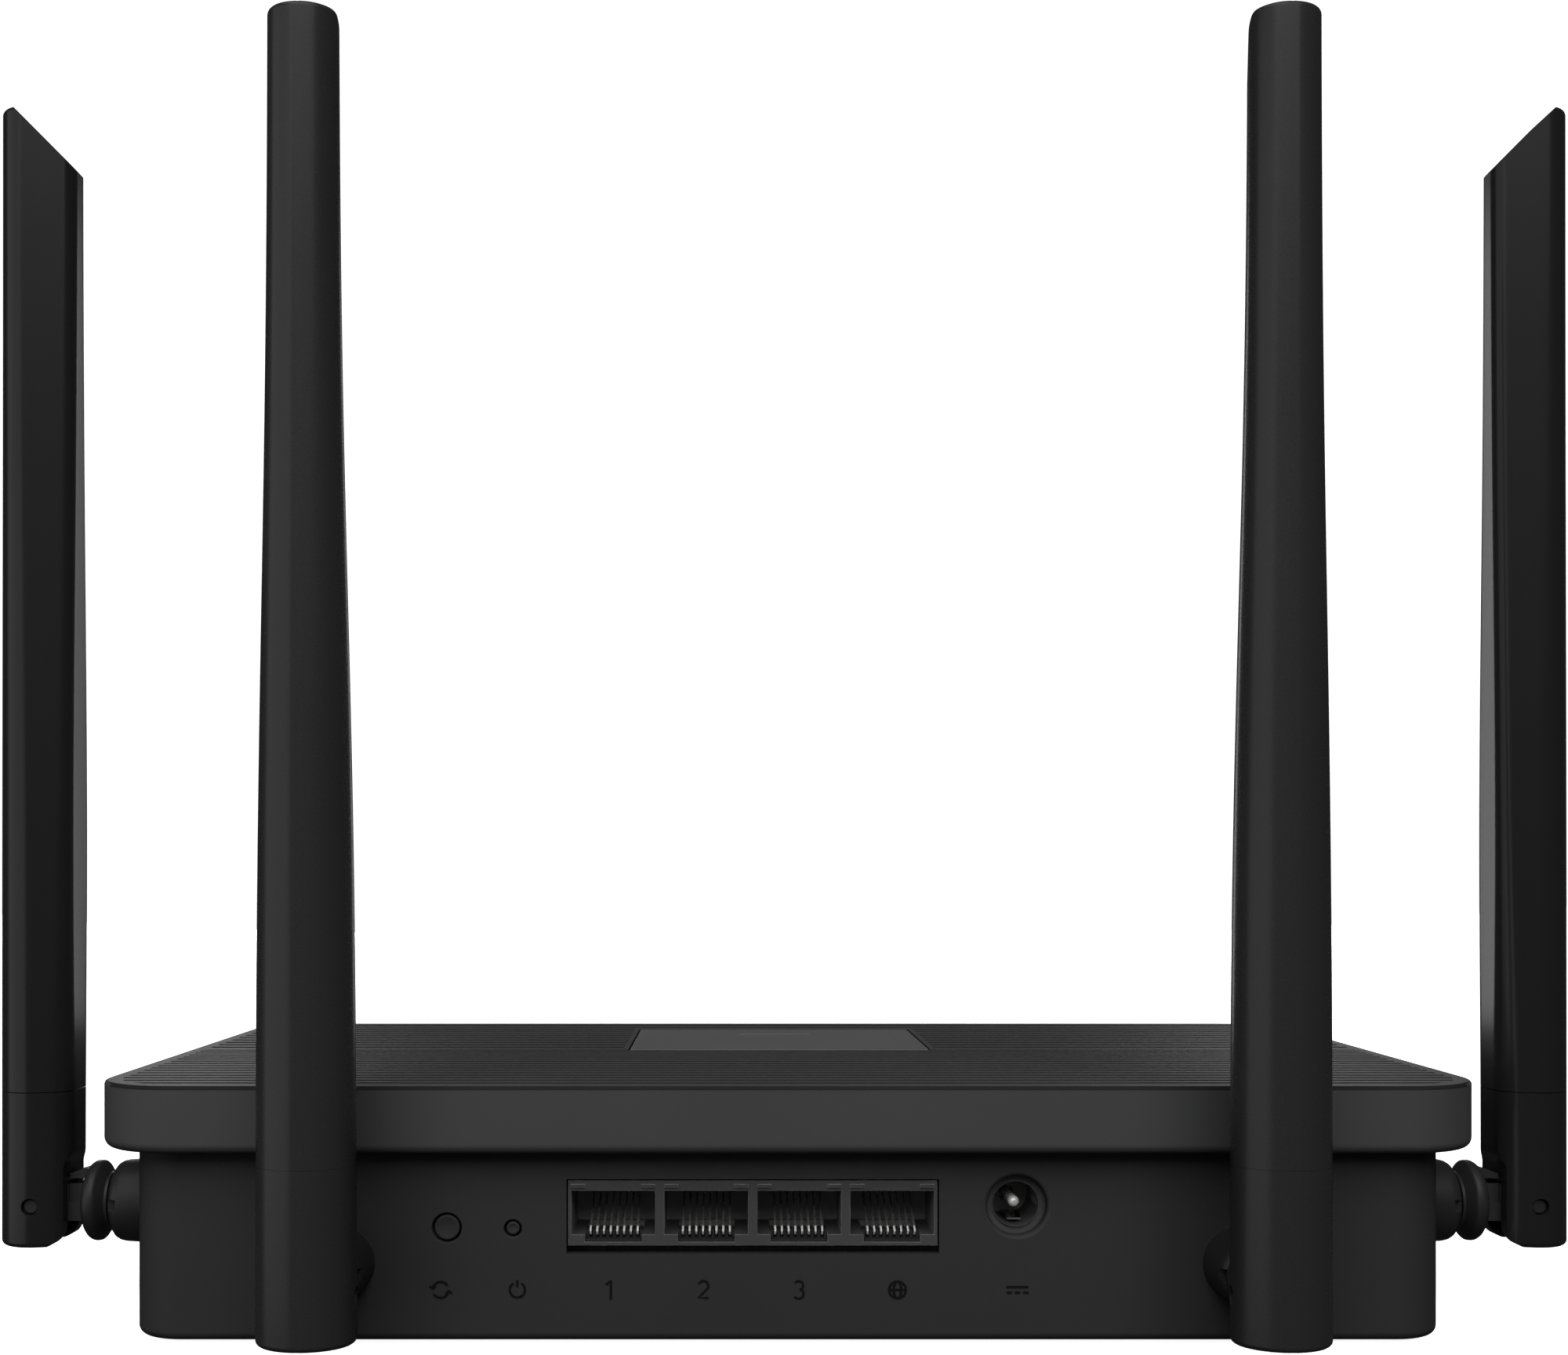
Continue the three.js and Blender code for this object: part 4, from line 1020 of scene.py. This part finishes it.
def make_sleeve(place):
    stations = [(0, 0.8), (0.06, 0.5), (0.25, 0.22), (0.5, 0.06), (0.8, 0)]
    stations += [(height, 0) for height in (5, 10, 15, 20, SLEEVE)]
    body = loft([antenna_ring(height, inset) for height, inset in stations], place)
    inside = INNER_X - 5
    below = -8
    corner = NOTCH_X + NOTCH_RADIUS
    notch = [(inside, NOTCH_TOP), (inside, below), (corner, below)]
    notch += arc(corner, FOOT_Z - 0.1 + NOTCH_RADIUS, NOTCH_RADIUS, -90, -180) + [(NOTCH_X, 5.7)]
    notch += [(NOTCH_X - 0.05, 6.1), (NOTCH_X - 0.2, 6.5), (INNER_X + 0.3, 7.8), (INNER_X, NOTCH_TOP)]
    slot = [(inside, SLOT_RADIUS), (inside, below), (PIN_X + SLOT_RADIUS, below)]
    slot += arc(PIN_X, 0, SLOT_RADIUS, 0, 90)
    return cut(body, [
        loft([antenna_ring(height, SHELL, False) for height in (17.6, SLEEVE + 0.5)], place),
        along_y(notch, ACROSS, place),
        along_y(slot, (-SLOT_HALF, SLOT_HALF), place),
        rod(SLEEVE_PIN_HOLE, ACROSS, "y", (PIN_X, 0, 0), place, sides=40),
        rod(CABLE_HOLE, (2, 12), "z", (PIN_X - 2.5, 0, 0), place, sides=20),
    ])


def make_blade(place, seam):
    base = SLEEVE + seam
    top = FOOT_Z + LENGTH
    straight = LENGTH - TIP_ROUND
    steps = 48
    stations = [(base + (straight - base) * i / steps, 0) for i in range(steps)]
    stations += [(LENGTH - drop, inset) for inset, drop in rounding(TIP_ROUND, 5)]
    body = loft([antenna_ring(height, inset) for height, inset in stations], place)
    join(body, [loft([antenna_ring(h, SHELL + GAP, False) for h in (base - SPIGOT, base + 1)], place)])
    hollow_base = base + 1.4
    hollow = [hollow_base + (LENGTH - 18 - hollow_base) * i / 12 for i in range(13)]
    tip_x = OUTER_X - TIP_WIDTH
    beyond = INNER_X - 2
    shoulder = arc(tip_x + 0.5, top - 1.2, 1.2, 90, 135, 6)[::-1]
    foot_x, foot_z = shoulder[0]
    slant = shoulder + [(tip_x, top + 3), (beyond, top + 3), (beyond, foot_z - foot_x + beyond)]
    return cut(body, [
        loft([antenna_ring(height, SHELL * 2, False) for height in (base - SPIGOT - 1, base + 2)], place),
        loft([antenna_ring(height, SHELL, False) for height in hollow], place),
        along_y(slant, ACROSS, place),
    ])


def make_knuckle(place, size):
    """The part that swivels in the boss: snap head, shaft, collar and tongue."""
    collar = COLLAR_RADIUS * size
    neck = 0.72 * collar
    front = COLLAR_FRONT
    head = [(3.6, -5), (4.1, -4.6), (4.1, -3.9)]
    shaft = [(3.0, -3.9), (3.0, BUSH_END + GAP), (neck, BUSH_END + GAP), (neck, front - 3.5)]
    rise = [(0.76 * collar, front - 3.3), (0.95 * collar, front - 2.45), (0.99 * collar, front - 2.15)]
    crown = [(collar, front - 1.8), (collar, front - 1.3), (0.985 * collar, front - 1.0)]
    fall = [(0.94 * collar, front - 0.55), (0.87 * collar, front - 0.2), (0.8 * collar, front)]
    core = lathe(head + shaft + rise + crown + fall, "x", turn=place)
    back = front - 1
    tongue = [(back, TONGUE_RADIUS), (back, -TONGUE_RADIUS)] + arc(PIN_X, 0, TONGUE_RADIUS, -90, 90, 24)
    wedge = [(back, 3.9), (NOTCH_X - GAP, 3.9), (NOTCH_X - GAP, 4.7), (front, 5.5), (back, 5.5)]
    sides = (-TONGUE_HALF, TONGUE_HALF)
    join(core, [along_y(tongue, sides, place), along_y(wedge, sides, place)])
    rebate_xs = (front + 0.2, NOTCH_X - 0.1)
    return cut(core, [
        block(rebate_xs, (2.05, 4), (0.1, 3.1), place),
        block(rebate_xs, (-4, -2.05), (0.1, 3.1), place),
        rod(KNUCKLE_PIN_HOLE, (-4, 4), "y", (PIN_X, 0, 0), place, sides=40),
        rod(CABLE_HOLE, (-6, front + 1.9), "x", turn=place, sides=24),
        rod(0.9, (0, 7), "z", (front + 1.2, 0, 0), place, sides=20),
    ])


def make_boss(place, size):
    """The fixed boss in the wall, with a small window on each side of its end."""
    r = BUSH_RADIUS * size
    end = BUSH_END
    wall_groove = [(BUSH_BORE, -3.5), (5.6, -3.5), (5.6, -2.2), (4.7, -2.2), (4.7, 0.2)]
    side = [(r, 0.2), (0.993 * r, 1.2), (0.972 * r, 3.5), (0.957 * r, 5), (0.936 * r, end - 2.1)]
    rounded = [(0.91 * r, end - 1.3), (0.86 * r, end - 0.7), (0.76 * r, end - 0.2), (0.67 * r, end)]
    body = tube(wall_groove + side + rounded + [(BUSH_BORE, end)], "x", turn=place)
    windows = []
    for y in (-0.85 * r, 0.85 * r):
        windows.append(block((end - 1.7, end + 0.1), (y - 1.1, y + 1.1), (-0.9, 0.95), place))
    return cut(body, windows)


def make_antenna(name):
    place = antenna_place(name)
    rear = name.startswith("rear")
    size = REAR_HINGE if rear else 1.0
    seam = REAR_SEAM if rear else SIDE_SEAM
    # the side antennas take the darker copy of the same plastic, painted shade
    material = REAR_ANTENNA if rear else SIDE_ANTENNA_SHADED
    hub = f"{name}_hub"
    blade = f"{name}_antenna"
    put(make_boss(place, size), f"{name}_boss", "router_body", HINGE, [f"{name}_mount_bush"])
    put(make_knuckle(place, size), f"{name}_knuckle", hub, HINGE, [f"{name}_swivel_hub"])
    put(make_sleeve(place), f"{name}_sleeve", blade, material, [f"{name}_hinge_sleeve"])
    put(make_blade(place, seam), f"{name}_blade", blade, material, [f"{name}_antenna_blade"])
    pin_profile = [(1.0, -6.2), (PIN_RADIUS, -6.05), (PIN_RADIUS, 6.05), (1.0, 6.2)]
    pin = lathe(pin_profile, "y", (PIN_X, 0, 0), place, sides=40)
    put(pin, f"{name}_pin", blade, DARK, [f"{name}_hinge_pin"], bevel=0)
    keep(f"{name}_radiator", BOARD)
    keep(f"{name}_coax_cable", CABLE, sharp=math.radians(60))


for antenna_name in ANTENNAS:
    make_antenna(antenna_name)


# ---------- floor, backdrop and lights ----------

SWEEP_RADIUS = 2600
SWEEP_BEND = 800
SWEEP_HEIGHT = 3200
SWEEP_GLOW = 0.92
WORLD_GLOW = 0.03
LIGHTS_AIM = Vector((0, 0, 0.06))


def make_sweep():
    """A pale round floor that curves up into a wall all round and shines softly, so that it stays even."""
    profile = []
    steps = 24
    for i in range(steps + 1):
        a = i / steps * math.pi / 2
        profile.append((SWEEP_RADIUS - SWEEP_BEND * (1 - math.sin(a)), SWEEP_BEND * (1 - math.cos(a))))
    profile.append((SWEEP_RADIUS, SWEEP_HEIGHT))
    points = [(0, 0, 0)]
    for radius, z in profile:
        points += circle(radius, FINE, z)
    faces = [(0, 1 + i, 1 + (i + 1) % FINE) for i in range(FINE)]
    for level in range(len(profile) - 1):
        for i in range(FINE):
            a = 1 + level * FINE + i
            b = 1 + level * FINE + (i + 1) % FINE
            faces.append((a, a + FINE, b + FINE, b))
    sweep = mesh_object("sweep", points, faces)
    sweep.data.shade_smooth()
    s = Shader("pale_sweep")
    s.join(s.ramp(s.noise(3, 2), (0.3, grey(0.80)), (0.7, grey(0.82))), s.bsdf.inputs["Base Color"])
    s.set(Roughness=0.95, Specular_IOR_Level=0.1, Emission_Color=(1, 1, 1, 1), Emission_Strength=SWEEP_GLOW)
    sweep.data.materials.append(s.material)
    sweep.visible_glossy = False
    sweep.visible_diffuse = False
    sweep.visible_shadow = False


def card(name, azimuth, elevation, distance, size, power, diffuse=True, glossy=True):
    """A rectangular light that faces the object, at azimuth 0 over the socket wall and 90 over +X."""
    data = bpy.data.lights.new(name, "AREA")
    data.shape = "RECTANGLE"
    data.size, data.size_y = size
    data.energy = power
    light = bpy.data.objects.new(name, data)
    a = math.radians(azimuth)
    e = math.radians(elevation)
    direction = Vector((math.sin(a) * math.cos(e), -math.cos(a) * math.cos(e), math.sin(e)))
    light.location = LIGHTS_AIM + distance * direction
    light.rotation_euler = (-direction).to_track_quat("-Z", "Y").to_euler()
    light.visible_camera = False
    light.visible_diffuse = diffuse
    light.visible_glossy = glossy
    scene.collection.objects.link(light)


make_sweep()
card("key", -2, 43, 1.6, (1.5, 1.4), 49, glossy=False)
card("front_fill", 0, 8, 1.7, (1.4, 0.7), 2.4, glossy=False)
card("front_sheen", 0, 45, 1.6, (1.8, 1.2), 8, diffuse=False)
card("left_card", -60, 8, 1.5, (1.9, 1.3), 6, diffuse=False)
card("back_left", -160, 5, 1.6, (0.22, 1.0), 1.65, diffuse=False)
card("back_right", 160, 5, 1.6, (0.22, 1.0), 1.15, diffuse=False)
card("top_sheen", -35, 72, 1.6, (1.4, 1.0), 4, diffuse=False)
card("back_fill", 180, 2, 1.8, (1.8, 0.6), 22, glossy=False)
card("left_fill", -130, 2, 1.6, (0.8, 0.8), 14, glossy=False)
card("right_fill", 130, 2, 1.6, (0.8, 0.8), 14, glossy=False)

world = bpy.data.worlds.new("studio")
world.use_nodes = True
background = world.node_tree.nodes["Background"]
background.inputs["Color"].default_value = (1, 1, 1, 1)
background.inputs["Strength"].default_value = WORLD_GLOW
scene.world = world
